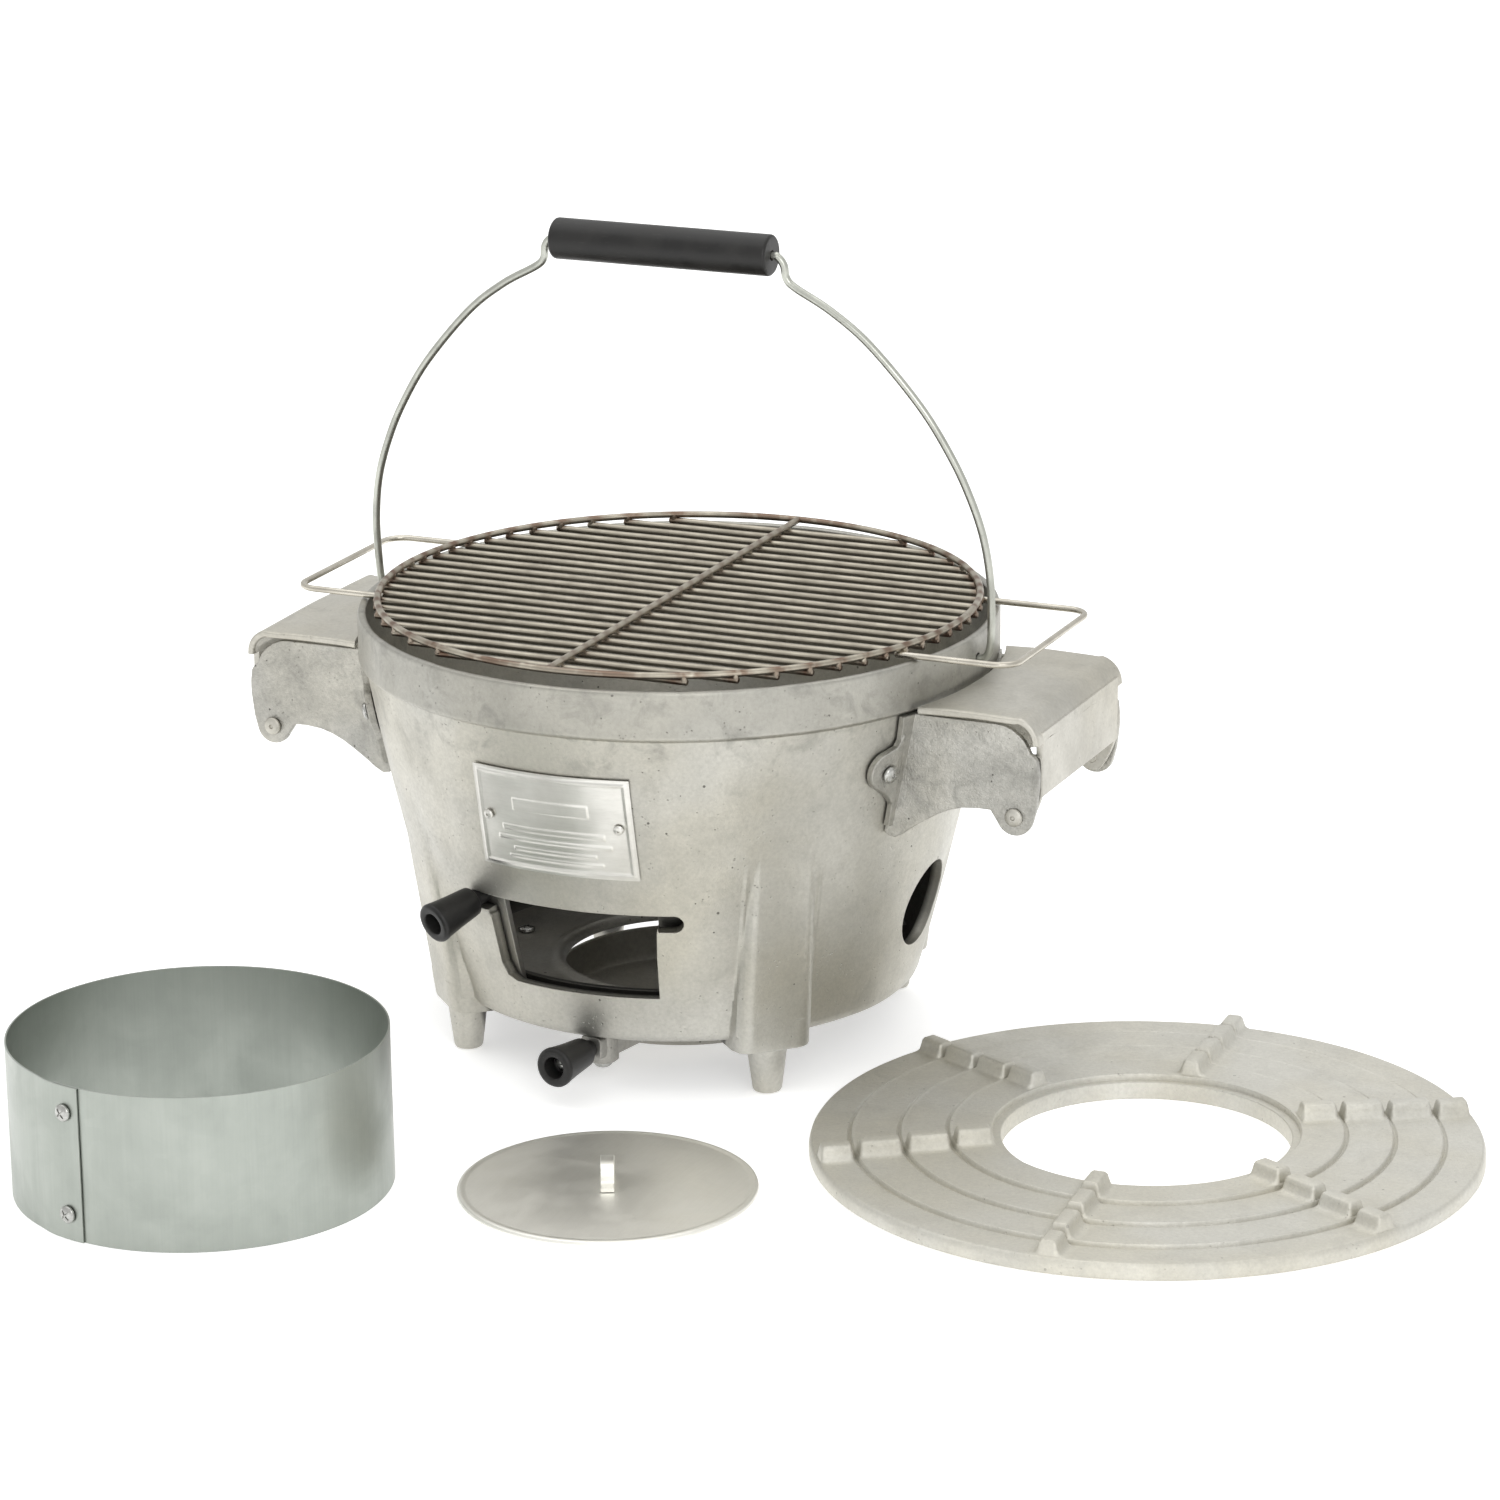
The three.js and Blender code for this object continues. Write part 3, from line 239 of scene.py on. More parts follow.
def moved(bm, matrix, origin=POT):
    """The bmesh turned or shifted by a matrix whose lengths are in millimetres, about the origin."""
    m = matrix.copy()
    m.translation = m.translation * MM
    bm.transform(Matrix.Translation(origin) @ m @ Matrix.Translation(-origin))
    return bm


def merged(*parts):
    """One bmesh that holds all the parts."""
    whole = bmesh.new()
    for bm in parts:
        mesh = bpy.data.meshes.new("part")
        bm.to_mesh(mesh)
        whole.from_mesh(mesh)
        bpy.data.meshes.remove(mesh)
        bm.free()
    return whole


def placed(name, data):
    """A new object of mesh, lamp or camera data, in the scene."""
    obj = bpy.data.objects.new(name, data)
    bpy.context.scene.collection.objects.link(obj)
    return obj


def as_object(bm, name="tool"):
    """An object of the bmesh, which is freed."""
    mesh = bpy.data.meshes.new(name)
    bm.to_mesh(mesh)
    bm.free()
    return placed(name, mesh)


def combined(base, tools, operation):
    """The base bmesh after each tool is cut from it ("DIFFERENCE") or joined to it ("UNION")."""
    target = as_object(base)
    for tool_mesh in tools:
        tool = as_object(tool_mesh)
        modifier = target.modifiers.new("cut", "BOOLEAN")
        modifier.operation = operation
        modifier.solver = "EXACT"
        modifier.object = tool
        evaluated = target.evaluated_get(bpy.context.evaluated_depsgraph_get())
        result = bpy.data.meshes.new_from_object(evaluated)
        target.modifiers.clear()
        old = target.data
        target.data = result
        bpy.data.meshes.remove(old)
        bpy.data.objects.remove(tool)
    bm = bmesh.new()
    bm.from_mesh(target.data)
    bpy.data.objects.remove(target)
    return bm


def cut(base, *tools):
    return combined(base, tools, "DIFFERENCE")


def joined(base, *tools):
    return combined(base, tools, "UNION")


def rod(a, b, radius, sides=32, origin=POT):
    """A plain cylinder from a to b."""
    return tube([a, b], radius, sides, origin, caps=0.0001)


def roughened(bm, amount, size, seed):
    """Points moved in by smooth noise of the given depth and size: the waviness of a sand casting."""
    bm.normal_update()
    shift = Vector((seed * 17.3, seed * 5.1, seed * 9.7))
    for v in bm.verts:
        v.co += v.normal * (noise.noise(v.co / (size * MM) + shift) - 1) / 2 * amount * MM
    return bm


INSIDE_BOX = 0.00001  # metres kept clear of the CAD's overall box
SHARP = 38  # degrees between faces from which an edge is drawn sharp


def piece(name, bm, body, material, node, sharp=SHARP):
    """Makes the object of a finished bmesh and ties it to its CAD body, node and material slot."""
    bmesh.ops.recalc_face_normals(bm, faces=bm.faces)
    low, high = (Vector(corner) for corner in cad_bounds)
    for v in bm.verts:
        v.co = Vector(min(max(c, a + INSIDE_BOX), b - INSIDE_BOX) for c, a, b in zip(v.co, low, high))
    obj = as_object(bm, name)
    mesh = obj.data
    for polygon in mesh.polygons:
        polygon.use_smooth = True
    mesh.set_sharp_from_angle(angle=math.radians(sharp))
    mesh.materials.clear()
    mesh.materials.append(material)
    modifier = obj.modifiers.new("flat_faces", "WEIGHTED_NORMAL")
    modifier.weight = 70
    modifier.keep_sharp = True
    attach(obj, body)
    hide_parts(node)


def fitting(name, bm, body="pot"):
    """A zinc-plated screw, bolt or nut."""
    piece(f"{name}_part", bm, body, ZINC, name)


# ---- materials

BAR_PITCH = 12.3


class Nodes:
    """Short calls that add shader nodes to one material."""

    def __init__(self, name):
        self.material = bpy.data.materials.new(name)
        self.material.use_nodes = True
        self.tree = self.material.node_tree
        self.shader = self.tree.nodes["Principled BSDF"]
        self.place = self.tree.nodes.new("ShaderNodeTexCoord").outputs["Object"]

    def link(self, source, socket):
        if isinstance(source, (int, float, tuple)):
            socket.default_value = source
        else:
            self.tree.links.new(source, socket)

    def add(self, kind, inputs, **settings):
        """The outputs of a new node, with its settings made and its inputs linked or set."""
        node = self.tree.nodes.new("ShaderNode" + kind)
        for name, value in settings.items():
            setattr(node, name, value)
        for name, source in inputs.items():
            self.link(source, node.inputs[name])
        return node.outputs

    def mapped(self, scale):
        """Object coordinates scaled along each axis."""
        return self.add("Mapping", {"Scale": scale, "Vector": self.place})[0]

    def noise(self, size, detail=4.0, rough=0.55, where=None, distortion=0.0):
        """Noise whose features are about size millimetres across."""
        return self.add("TexNoise", {"Scale": 1 / (size * MM), "Detail": detail, "Roughness": rough,
                                     "Distortion": distortion, "Vector": where or self.place})["Fac"]

    def cells(self, size):
        """Distance to the nearest of points strewn about size millimetres apart, and its own colour."""
        outputs = self.add("TexVoronoi", {"Scale": 1 / (size * MM), "Vector": self.place})
        return outputs["Distance"], outputs["Color"]

    def ramp(self, value, low, high, a=0.0, b=1.0):
        """Maps low..high on to a..b, clamped."""
        return self.add("MapRange", {"Value": value, "From Min": low, "From Max": high, "To Min": a,
                                     "To Max": b})["Result"]

    def math(self, operation, a, b=0.0):
        return self.add("Math", {0: a, 1: b}, operation=operation)[0]

    def times(self, a, b):
        return self.math("MULTIPLY", a, b)

    def plus(self, a, b):
        return self.math("ADD", a, b)

    def minus(self, a, b):
        return self.math("SUBTRACT", a, b)

    def away(self, x, y):
        """Length of (x, y)."""
        return self.math("SQRT", self.plus(self.times(x, x), self.times(y, y)))

    def mix(self, share, a, b):
        """Colour between a and b."""
        return self.add("Mix", {"Factor": share, 6: a, 7: b}, data_type="RGBA")[2]

    def part(self, axis, where=None):
        """One axis of the object coordinates, or of another vector."""
        return self.add("SeparateXYZ", {0: where or self.place})[axis]

    def bump(self, height, distance, strength=1.0, under=None):
        """Relief of the given depth in millimetres, on top of an earlier relief."""
        inputs = {"Strength": strength, "Distance": distance * MM, "Height": height}
        if under is not None:
            inputs["Normal"] = under
        return self.add("Bump", inputs)["Normal"]

    def eased(self, radius):
        """Normals rounded over edges, as tumbling and handling leave them."""
        return self.add("Bevel", {"Radius": radius * MM}, samples=4)["Normal"]

    def finish(self, color, roughness, normal, metallic=1.0):
        self.link(color, self.shader.inputs["Base Color"])
        self.link(roughness, self.shader.inputs["Roughness"])
        self.link(normal, self.shader.inputs["Normal"])
        self.shader.inputs["Metallic"].default_value = metallic
        return self.material


def inside_pot(n):
    """Mask for painted shade: 1 on the pot's inner surfaces below the charcoal grate, and 0 above it and
    outside.
    """
    x = n.times(n.minus(n.part(0), POT.x), 1 / MM)
    y = n.times(n.minus(n.part(1), POT.y), 1 / MM)
    z = n.times(n.part(2), 1 / MM)
    r = n.away(x, y)
    rise = n.minus(z, 28.0)
    bend = n.times(n.times(rise, n.minus(z, 110.0)), -0.00035345)
    wall = n.plus(n.plus(n.times(rise, 0.262195), 118.6), bend)
    within = n.ramp(n.minus(wall, r), 3.0, 5.5)
    return n.times(within, n.ramp(z, 106.0, 116.0, 1.0, 0.0))


def scaled(color, red, green, blue):
    """A colour with its channels scaled."""
    return color[0] * red, color[1] * green, color[2] * blue, 1


def cast_aluminium(name, light, dark, grain=1.0, rough=(0.40, 0.62), pits=0.7, smudge=0.6, painted_shade=0.0):
    """Sand-cast aluminium, tumbled: fine grain, dark pinholes, cloudy grey stains and brighter high spots; for
    the pot, also painted shade inside it and on the rim band, and stains below the band.
    """
    n = Nodes(name)
    cloud = n.ramp(n.noise(46, 5, 0.6, distortion=0.4), 0.36, 0.68)
    stain = n.ramp(n.noise(17, 6, 0.68, distortion=0.8), 0.5, 0.76)
    mottle = n.ramp(n.noise(1.9, 5, 0.7), 0.35, 0.7)
    hole_distance, _ = n.cells(7.5)
    where_pits = n.ramp(n.noise(22, 3), 0.46, 0.62)
    pit_size = n.ramp(n.noise(5, 1), 0.35, 0.7, 0.02, 0.11)
    pit = n.times(n.math("LESS_THAN", hole_distance, pit_size), n.math("GREATER_THAN", where_pits, 0.3))
    speck_distance, _ = n.cells(2.6)
    speck = n.times(n.ramp(speck_distance, 0.2, 0.07), n.ramp(n.noise(12, 3), 0.52, 0.62))
    warm = n.mix(n.ramp(n.noise(70, 2), 0.4, 0.6), light, scaled(light, 0.985, 0.97, 0.93))
    color = n.mix(n.times(cloud, 0.4 * smudge), warm, dark)
    color = n.mix(n.times(stain, 0.5 * smudge), color, dark)
    color = n.mix(n.times(mottle, 0.3), color, dark)
    color = n.mix(n.times(speck, 0.55 * pits), color, (0.10, 0.095, 0.085, 1))
    color = n.mix(n.times(pit, pits), color, (0.035, 0.032, 0.03, 1))
    if painted_shade:
        # painted shade: the pot's inside below the charcoal grate is painted near-black, standing in for the
        # shadow in the closed ash chamber
        color = n.mix(n.times(inside_pot(n), painted_shade), color, (0.035, 0.034, 0.032, 1))
        # painted shade: the rim band is darkened in patches, standing in for the darker surroundings that its
        # upright face reflects
        patchy = n.ramp(n.noise(30, 4, 0.6), 0.3, 0.7, 0.6, 1.0)
        band = n.times(n.ramp(n.part(2), (RIM_Z - 25) * MM, (RIM_Z - 22) * MM, 0.0, 0.55), patchy)
        color = n.mix(band, color, scaled(dark, 0.85, 0.85, 0.85))
        below = n.times(n.ramp(n.part(2), (RIM_Z - 62) * MM, (RIM_Z - 25) * MM, 0.0, 0.55), stain)
        color = n.mix(below, color, scaled(dark, 0.7, 0.7, 0.7))
    roughness = n.ramp(n.plus(cloud, n.times(mottle, 0.5)), 0.0, 1.5, *rough)
    normal = n.eased(0.7)
    normal = n.bump(n.noise(9, 3), 0.35 * grain, 0.5, normal)
    normal = n.bump(n.noise(0.8, 3, 0.65), 0.11 * grain, 0.8, normal)
    normal = n.bump(n.plus(pit, speck), -0.35, 0.8, normal)
    return n.finish(color, roughness, normal)


def streaked_sheet(name, light, dark, along, rough, grain=0.04, spangle=0.0, bands=0.35):
    """Rolled or brushed sheet: fine streaks along one direction over soft clouds."""
    n = Nodes(name)
    fine = n.noise(1.0, 3, 0.6, n.mapped(scale=tuple(0.02 if a else 1.0 for a in along)))
    broad = n.noise(9, 3, 0.6, n.mapped(scale=tuple(0.06 if a else 1.0 for a in along)))
    cloud = n.ramp(n.noise(38, 4, 0.6, distortion=0.5), 0.38, 0.66)
    color = n.mix(n.times(cloud, 0.5), light, dark)
    color = n.mix(n.ramp(broad, 0.4, 0.72, 0.0, bands), color, dark)
    color = n.mix(n.ramp(fine, 0.45, 0.75, 0.0, 0.22), color, dark)
    if spangle:
        _, tone = n.cells(6.5)
        color = n.mix(n.times(n.part(0, tone), spangle), color, dark)
    roughness = n.ramp(n.plus(cloud, fine), 0.6, 1.6, *rough)
    normal = n.bump(n.noise(40, 1), 0.25, 0.25, n.eased(0.25))
    normal = n.bump(fine, grain, 0.6, normal)
    return n.finish(color, roughness, normal)


def drawn_wire(name, light, dark, rough, tint=None):
    """Drawn wire with die marks; tint is (radius, reach, colour) of the heat colour beside the welds."""
    n = Nodes(name)
    cloud = n.ramp(n.noise(14, 4, 0.6), 0.38, 0.66)
    scratch = n.noise(0.9, 3, 0.6)
    color = n.mix(n.times(cloud, 0.55), light, dark)
    if tint:
        radius, reach, hue = tint
        x = n.minus(n.part(0), POT.x)
        y = n.minus(n.part(1), POT.y)
        away = n.away(x, y)
        near_ring = n.ramp(n.math("ABSOLUTE", n.minus(away, radius * MM)), reach * MM, 0.0)
        near_spine = n.ramp(n.math("ABSOLUTE", x), reach * MM, 0.0, 0.0, 0.55)
        from_bar = n.math("PINGPONG", n.plus(y, 40 * BAR_PITCH * MM), BAR_PITCH / 2 * MM)
        at_weld = n.ramp(from_bar, 4.6 * MM, 1.2 * MM)
        heat = n.times(n.math("MAXIMUM", near_ring, near_spine), at_weld)
        heat = n.times(heat, n.ramp(n.noise(7, 2), 0.3, 0.5))
        color = n.mix(n.times(heat, 0.9), color, hue)
    roughness = n.ramp(n.plus(cloud, scratch), 0.5, 1.6, *rough)
    normal = n.bump(scratch, 0.05, 0.6)
    return n.finish(color, roughness, normal)


def screw_zinc(name):
    n = Nodes(name)
    cloud = n.ramp(n.noise(2.6, 3), 0.4, 0.66)
    color = n.mix(n.times(cloud, 0.5), (0.50, 0.50, 0.48, 1), (0.27, 0.27, 0.255, 1))
    normal = n.bump(n.noise(0.5, 2), 0.04, 0.5, n.eased(0.2))
    return n.finish(color, n.ramp(cloud, 0, 1, 0.22, 0.4), normal)


def raw_iron(name):
    n = Nodes(name)
    rust = n.ramp(n.noise(15, 6, 0.7, distortion=1.0), 0.5, 0.75)
    color = n.mix(n.noise(4, 4), (0.10, 0.095, 0.09, 1), (0.22, 0.21, 0.20, 1))
    color = n.mix(n.times(rust, 0.4), color, (0.16, 0.10, 0.065, 1))
    normal = n.bump(n.noise(1.3, 4, 0.7), 0.25, 0.8, n.eased(0.6))
    return n.finish(color, n.ramp(rust, 0, 1, 0.55, 0.85), normal, metallic=0.75)


def phenolic(name):
    """Moulded black phenolic: faint flow clouds, dust in the fine grain, scuffs that catch the light."""
    n = Nodes(name)
    cloud = n.ramp(n.noise(18, 4, distortion=0.6), 0.35, 0.7)
    scuff = n.ramp(n.noise(1.2, 3, 0.7, n.mapped(scale=(0.2, 1, 1))), 0.62, 0.8)
    color = n.mix(cloud, (0.009, 0.0088, 0.0085, 1), (0.019, 0.018, 0.017, 1))
    color = n.mix(n.times(scuff, 0.3), color, (0.07, 0.068, 0.063, 1))
    n.shader.inputs["Specular IOR Level"].default_value = 0.38
    normal = n.bump(n.noise(0.6, 3), 0.05, 0.6, n.eased(0.4))
    return n.finish(color, n.ramp(cloud, 0, 1, 0.36, 0.5), normal, metallic=0.0)


# The pot's casting carries painted shade: near-black inside below the charcoal grate, and darker patches on the
# rim band.
CASTING = cast_aluminium("cast_aluminium", (0.57, 0.56, 0.515, 1), (0.29, 0.285, 0.26, 1),
                         rough=(0.36, 0.54), painted_shade=0.8)
ROUGH_CASTING = cast_aluminium("rough_cast_aluminium", (0.58, 0.57, 0.53, 1), (0.18, 0.178, 0.165, 1),
                               grain=4.5, rough=(0.30, 0.5), smudge=1.25)
LID_CASTING = cast_aluminium("lid_cast_aluminium", (0.59, 0.575, 0.525, 1), (0.36, 0.35, 0.315, 1),
                             grain=0.8, rough=(0.42, 0.56), pits=0.2, smudge=0.85)
RING_CASTING = cast_aluminium("ring_cast_aluminium", (0.68, 0.67, 0.62, 1), (0.45, 0.44, 0.405, 1),
                              grain=1.8, rough=(0.52, 0.72), pits=0.3)
PAN_CASTING = cast_aluminium("pan_cast_aluminium", (0.46, 0.45, 0.42, 1), (0.24, 0.235, 0.215, 1), grain=1.2)
PLATE = streaked_sheet("brushed_aluminium", (0.74, 0.73, 0.69, 1), (0.50, 0.49, 0.455, 1), (1, 0, 0),
                       (0.30, 0.44))
LID_SHEET = streaked_sheet("rolled_aluminium", (0.90, 0.89, 0.84, 1), (0.74, 0.73, 0.68, 1), (0, 1, 0),
                           (0.40, 0.52), grain=0.008, bands=0.1)
GALVANISED = streaked_sheet("galvanised_sheet", (0.40, 0.425, 0.39, 1), (0.325, 0.35, 0.32, 1), (0, 0, 1),
                            (0.36, 0.48), grain=0.02, spangle=0.2)
STAINLESS = drawn_wire("stainless_wire", (0.44, 0.405, 0.335, 1), (0.24, 0.215, 0.175, 1), (0.34, 0.48),
                       tint=(150, 5, (0.13, 0.06, 0.035, 1)))
LOOP_WIRE = drawn_wire("stainless_loop_wire", (0.58, 0.55, 0.48, 1), (0.36, 0.335, 0.285, 1), (0.24, 0.36))
BAIL_STEEL = drawn_wire("galvanised_wire", (0.52, 0.53, 0.48, 1), (0.32, 0.325, 0.295, 1), (0.3, 0.42))
ZINC = screw_zinc("zinc_plate")
IRON = raw_iron("raw_cast_iron")
BLACK = phenolic("black_phenolic")

# ---- the pot's wall, as the CAD has it

WALL = 6.0
WALL_STATIONS = ((28.0, 118.6), (110.0, 140.1), (194.6, 157.3))


def wall_r(z):
    """Radius of the wall's outer face: a parabola through the stations."""
    (z0, r0), (z1, r1), (z2, r2) = WALL_STATIONS
    lower, upper = (r1 - r0) / (z1 - z0), (r2 - r1) / (z2 - z1)
    return r0 + lower * (z - z0) + (upper - lower) / (z2 - z0) * (z - z0) * (z - z1)


def lean(z):
    """The wall's slope from upright, in radians."""
    return math.atan((wall_r(z + 1) - wall_r(z - 1)) / 2)


def wall_point(azimuth, z, offset):
    """A point off the wall's outer face, and the direction square to the wall there."""
    direction = out(azimuth, math.cos(lean(z)), -math.sin(lean(z)))
    return out(azimuth, wall_r(z), z) + direction * offset, direction


def aimed(direction, position, spin=0.0):
    """The matrix that stands a piece drawn along +Z at a position, pointing in a direction."""
    turn = Vector((0, 0, 1)).rotation_difference(direction).to_matrix().to_4x4()
    return Matrix.Translation(position) @ turn @ Matrix.Rotation(math.radians(spin), 4, "Z")


# ---- fire pot

LEGS = (-135, -45, 45, 135)
FOOT_Z = 24.0
BASE_Z = 27.8
FOOT_R = 116  # from the pot's axis to a foot's axis
PAD_LOW_R = 128.4  # from the pot's axis to a leg's face at FOOT_Z
PAD_TOP = 138.0
PAD_HALF = 20.3
RAIL_OFFSET = -WALL - 4.4  # of the guide rails' inner face from the wall's outer face
CLEAR = 0.3  # between pieces


def pad_face(z):
    """Distance of a leg buttress's face from the pot's axis."""
    return PAD_LOW_R + (wall_r(PAD_TOP) - 0.5 - PAD_LOW_R) * (z - FOOT_Z) / (PAD_TOP - FOOT_Z)


def pad_drop(across):
    """How far the buttress's rounded front falls back at a distance from its middle."""
    t = min(1.0, max(0.0, (abs(across) - 11.3) / 9.0))
    return 9.0 * (1 - math.sqrt(1 - t * t))


def pad_excess(azimuth, z):
    """How far a leg's buttress stands proud of the wall, with a raised seam where it runs out."""
    nearest = min(LEGS, key=lambda leg: abs((azimuth - leg + 180) % 360 - 180))
    across = math.radians((azimuth - nearest + 180) % 360 - 180) * wall_r(z)
    if abs(across) > PAD_HALF + 3:
        return 0.0
    proud = pad_face(z) - wall_r(z) - pad_drop(across)
    seam = 0.5 * math.exp(-((abs(across) - 19.2) / 0.8) ** 2) if z < 118 else 0.0
    return max(0.0, proud) + seam


def pot_outline(azimuth):
    """The pot's section at one azimuth, from the inner edge of the ledge round the outside to the inside."""
    band_low = WALL_STATIONS[-1][0]
    steps = 34
    base = wall_r(33) - 6.5
    section = [(80.0, BASE_Z), (base, BASE_Z), (base + 3.2, BASE_Z + 0.7), (base + 5.2, BASE_Z + 2.4)]
    for i in range(steps + 1):
        z = 33 + (band_low - 1.2 - 33) * i / steps
        section.append((wall_r(z) + pad_excess(azimuth, z), z))
    section += [(BAND_R - 2.0, band_low - 0.3), (BAND_R - 0.7, band_low + 0.3), (BAND_R, band_low + 1.6)]
    section += [(BAND_R, band_low + 12), (BAND_R, RIM_Z - 2.2), (BAND_R - 0.7, RIM_Z - 0.6),
                (BAND_R - 2, RIM_Z)]
    inner = BAND_R - 4.8
    section += [(inner + 1.5, RIM_Z), (inner + 0.3, RIM_Z - 0.8), (inner, RIM_Z - 2.4), (inner, band_low + 12)]
    for i in range(17):
        z = band_low + 4 - (band_low + 4 - 36) * i / 16
        section.append((wall_r(min(z, band_low)) - WALL, z))
    section += [(wall_r(31) - WALL - 2, 32), (wall_r(31) - WALL - 4, 30.9), (80.0, 30.9)]
    return section


def pot_body():
    """The wall and rim band as one height field, with closer sections beside the leg buttresses."""
    azimuths = {round(-180 + i * 1.25, 3) for i in range(288)}
    for leg in LEGS:
        azimuths |= {round(leg + side * (5.0 + k * 0.35), 3) for side in (-1, 1) for k in range(17)}
    azimuths = sorted(azimuths)
    rings = [[out(a, r, z) for r, z in pot_outline(a)] for a in azimuths]
    count = len(rings[0])
    return shell([p for ring in rings for p in ring], grid_faces(len(rings), count, wrap_rows=True))


def leg_foot(azimuth):
    """The pad under the pot's edge and the peg that stands on the floor."""
    rings = []
    for z, inset in ((FOOT_Z, 1.2), (FOOT_Z + 0.5, 0.3), (FOOT_Z + 1.6, 0.0), (34, 0.0), (40, 0.35)):
        face = pad_face(z)
        front = [(u, face - pad_drop(u)) for u in (i * PAD_HALF / 12 for i in range(-12, 13))]
        outline = inset_outline([(-PAD_HALF, 104)] + front + [(PAD_HALF, 104)], inset)
        rings.append([out(azimuth, v, z) + out(azimuth + 90, u) for u, v in outline])
    peg = [(0, 0), (5.2, 0), (6.8, 0.5), (7.5, 1.8), (8.4, 9), (9.5, 18), (10.1, 23), (11.4, 24.4), (11.4, 26),
           (0, 26)]
    at = POT + out(azimuth, FOOT_R) * MM
    return loft(rings), turned(peg, 40, at)


def grate_lug(azimuth):
    """A lug inside the wall that carries the charcoal grate."""
    r = wall_r(111) - WALL
    outline = rounded([(r - 9, 113.3), (r - 9, 110.4), (r + 2, 103), (r + 3, 113.4)], (1.5, 2.5, 0, 0), 3)
    rings = [[out(azimuth + k, a, z) for a, z in outline] for k in (-3.5, -3.1, 3.1, 3.5)]
    return loft(rings)


DOOR_HALF = 19.3
DOOR_LOW, DOOR_HIGH = 54.0, 100.5
SLOT_END = 22.9
SLOT_HALF = 4.75
SLOT_Z = DOOR_HIGH - SLOT_HALF


def slot_z(r):
    """The slot's height where the cutter is at radius r: it runs square to the leaning wall."""
    return SLOT_Z - (r - wall_r(SLOT_Z)) * math.tan(lean(SLOT_Z))


def doorway():
    """The door and the knob's slot, as one cutter drawn on the wall and pushed through it."""
    corner = 8 / math.radians(1) / wall_r(DOOR_LOW)
    end = SLOT_HALF / math.radians(1) / wall_r(SLOT_Z)
    outline = [(-DOOR_HALF + corner * 0.3, DOOR_LOW + 2.3), (-DOOR_HALF + corner, DOOR_LOW)]
    outline += [(-DOOR_HALF + corner + (2 * DOOR_HALF - corner) * i / 12, DOOR_LOW) for i in range(1, 12)]
    outline += [(DOOR_HALF, DOOR_LOW), (DOOR_HALF - 0.15, (DOOR_LOW + DOOR_HIGH) / 2)]
    right = arc(0, 0, 1, -90, 90, 10)
    outline += [(DOOR_HALF, SLOT_Z - SLOT_HALF - 1.2), (DOOR_HALF + 0.5, SLOT_Z - SLOT_HALF)]
    outline += [(SLOT_END + end * x, SLOT_Z + SLOT_HALF * z) for x, z in right]
    outline += [(SLOT_END - 2 * SLOT_END * i / 16, DOOR_HIGH) for i in range(1, 16)]
    outline += [(-SLOT_END - end * x, SLOT_Z - SLOT_HALF * z) for x, z in right]
    outline += [(-DOOR_HALF - 0.5, SLOT_Z - SLOT_HALF), (-DOOR_HALF, SLOT_Z - SLOT_HALF - 1.2)]
    outline += [(-DOOR_HALF, DOOR_LOW + 8)]
    rings = []
    for r in (112.0, 162.0):
        rings.append([out(a, r, z + slot_z(r) - SLOT_Z if z > SLOT_Z - SLOT_HALF - 0.1 else z)
                      for a, z in outline])
    return loft(rings)


def layer_section(low, high, inner, outer, steps=6):
    """The (r, z) section of a layer that follows the wall, between two offsets from its outer face."""
    ups = [low + (high - low) * i / steps for i in range(steps + 1)]
    return [(wall_r(z) + outer, z) for z in ups] + [(wall_r(z) + inner, z) for z in reversed(ups)]


def guide_rail(edge, side, lip, start, end):
    """The lipped rail that the draft shutter slides in, above (side 1) or below the door."""
    section = [(-WALL / 2, 8), (RAIL_OFFSET - 3, 8), (RAIL_OFFSET - 3, lip), (RAIL_OFFSET, lip),
               (RAIL_OFFSET, 4.5), (-WALL / 2, 4.5)]
    placed = [(wall_r(edge + side * away) + offset, edge + side * away) for offset, away in section]
    return turned(placed, 40, POT, start, end - start)


def fire_pot():
    body = pot_body()
    feet = [part for azimuth in LEGS for part in leg_foot(azimuth)]
    body = joined(body, *feet)
    vents = [rod(Vector((s * 90, 0, 78)), Vector((s * 190, 0, 78)), 22, 72) for s in (-1, 1)]
    bail_holes = [rod(Vector((s * 148, 0, PIVOT_Z)), Vector((s * 168, 0, PIVOT_Z)), 2.8, 24) for s in (-1, 1)]
    body = cut(body, doorway(), *vents, *bail_holes)
    left, right = -67.7, 30.1
    low, high, back = DOOR_LOW - 7.5, DOOR_HIGH + 7.5, RAIL_OFFSET - 2.5
    pocket = turned(layer_section(low, high, back, RAIL_OFFSET - CLEAR), 12, POT, DOOR_HALF,
                    right + 1 - DOOR_HALF)
    stop = turned(layer_section(low, high, back, -WALL / 2), 2, POT, right, 1.5)
    rails = [guide_rail(DOOR_LOW, -1, -0.5, left, right + 0.7),
             guide_rail(DOOR_HIGH, 1, 1.5, left, right + 0.7)]
    lugs = [grate_lug(a) for a in (-135, -38, 38, 135)]
    whole = merged(roughened(body, 0.35, 26, 1), pocket, stop, *rails, *lugs)
    piece("pot_casting", whole, "pot", CASTING, "fire_pot")


# ---- ash floor, pan and charcoal grate


ASH_SCREW_X = 89  # from the pot's axis to an ash floor screw


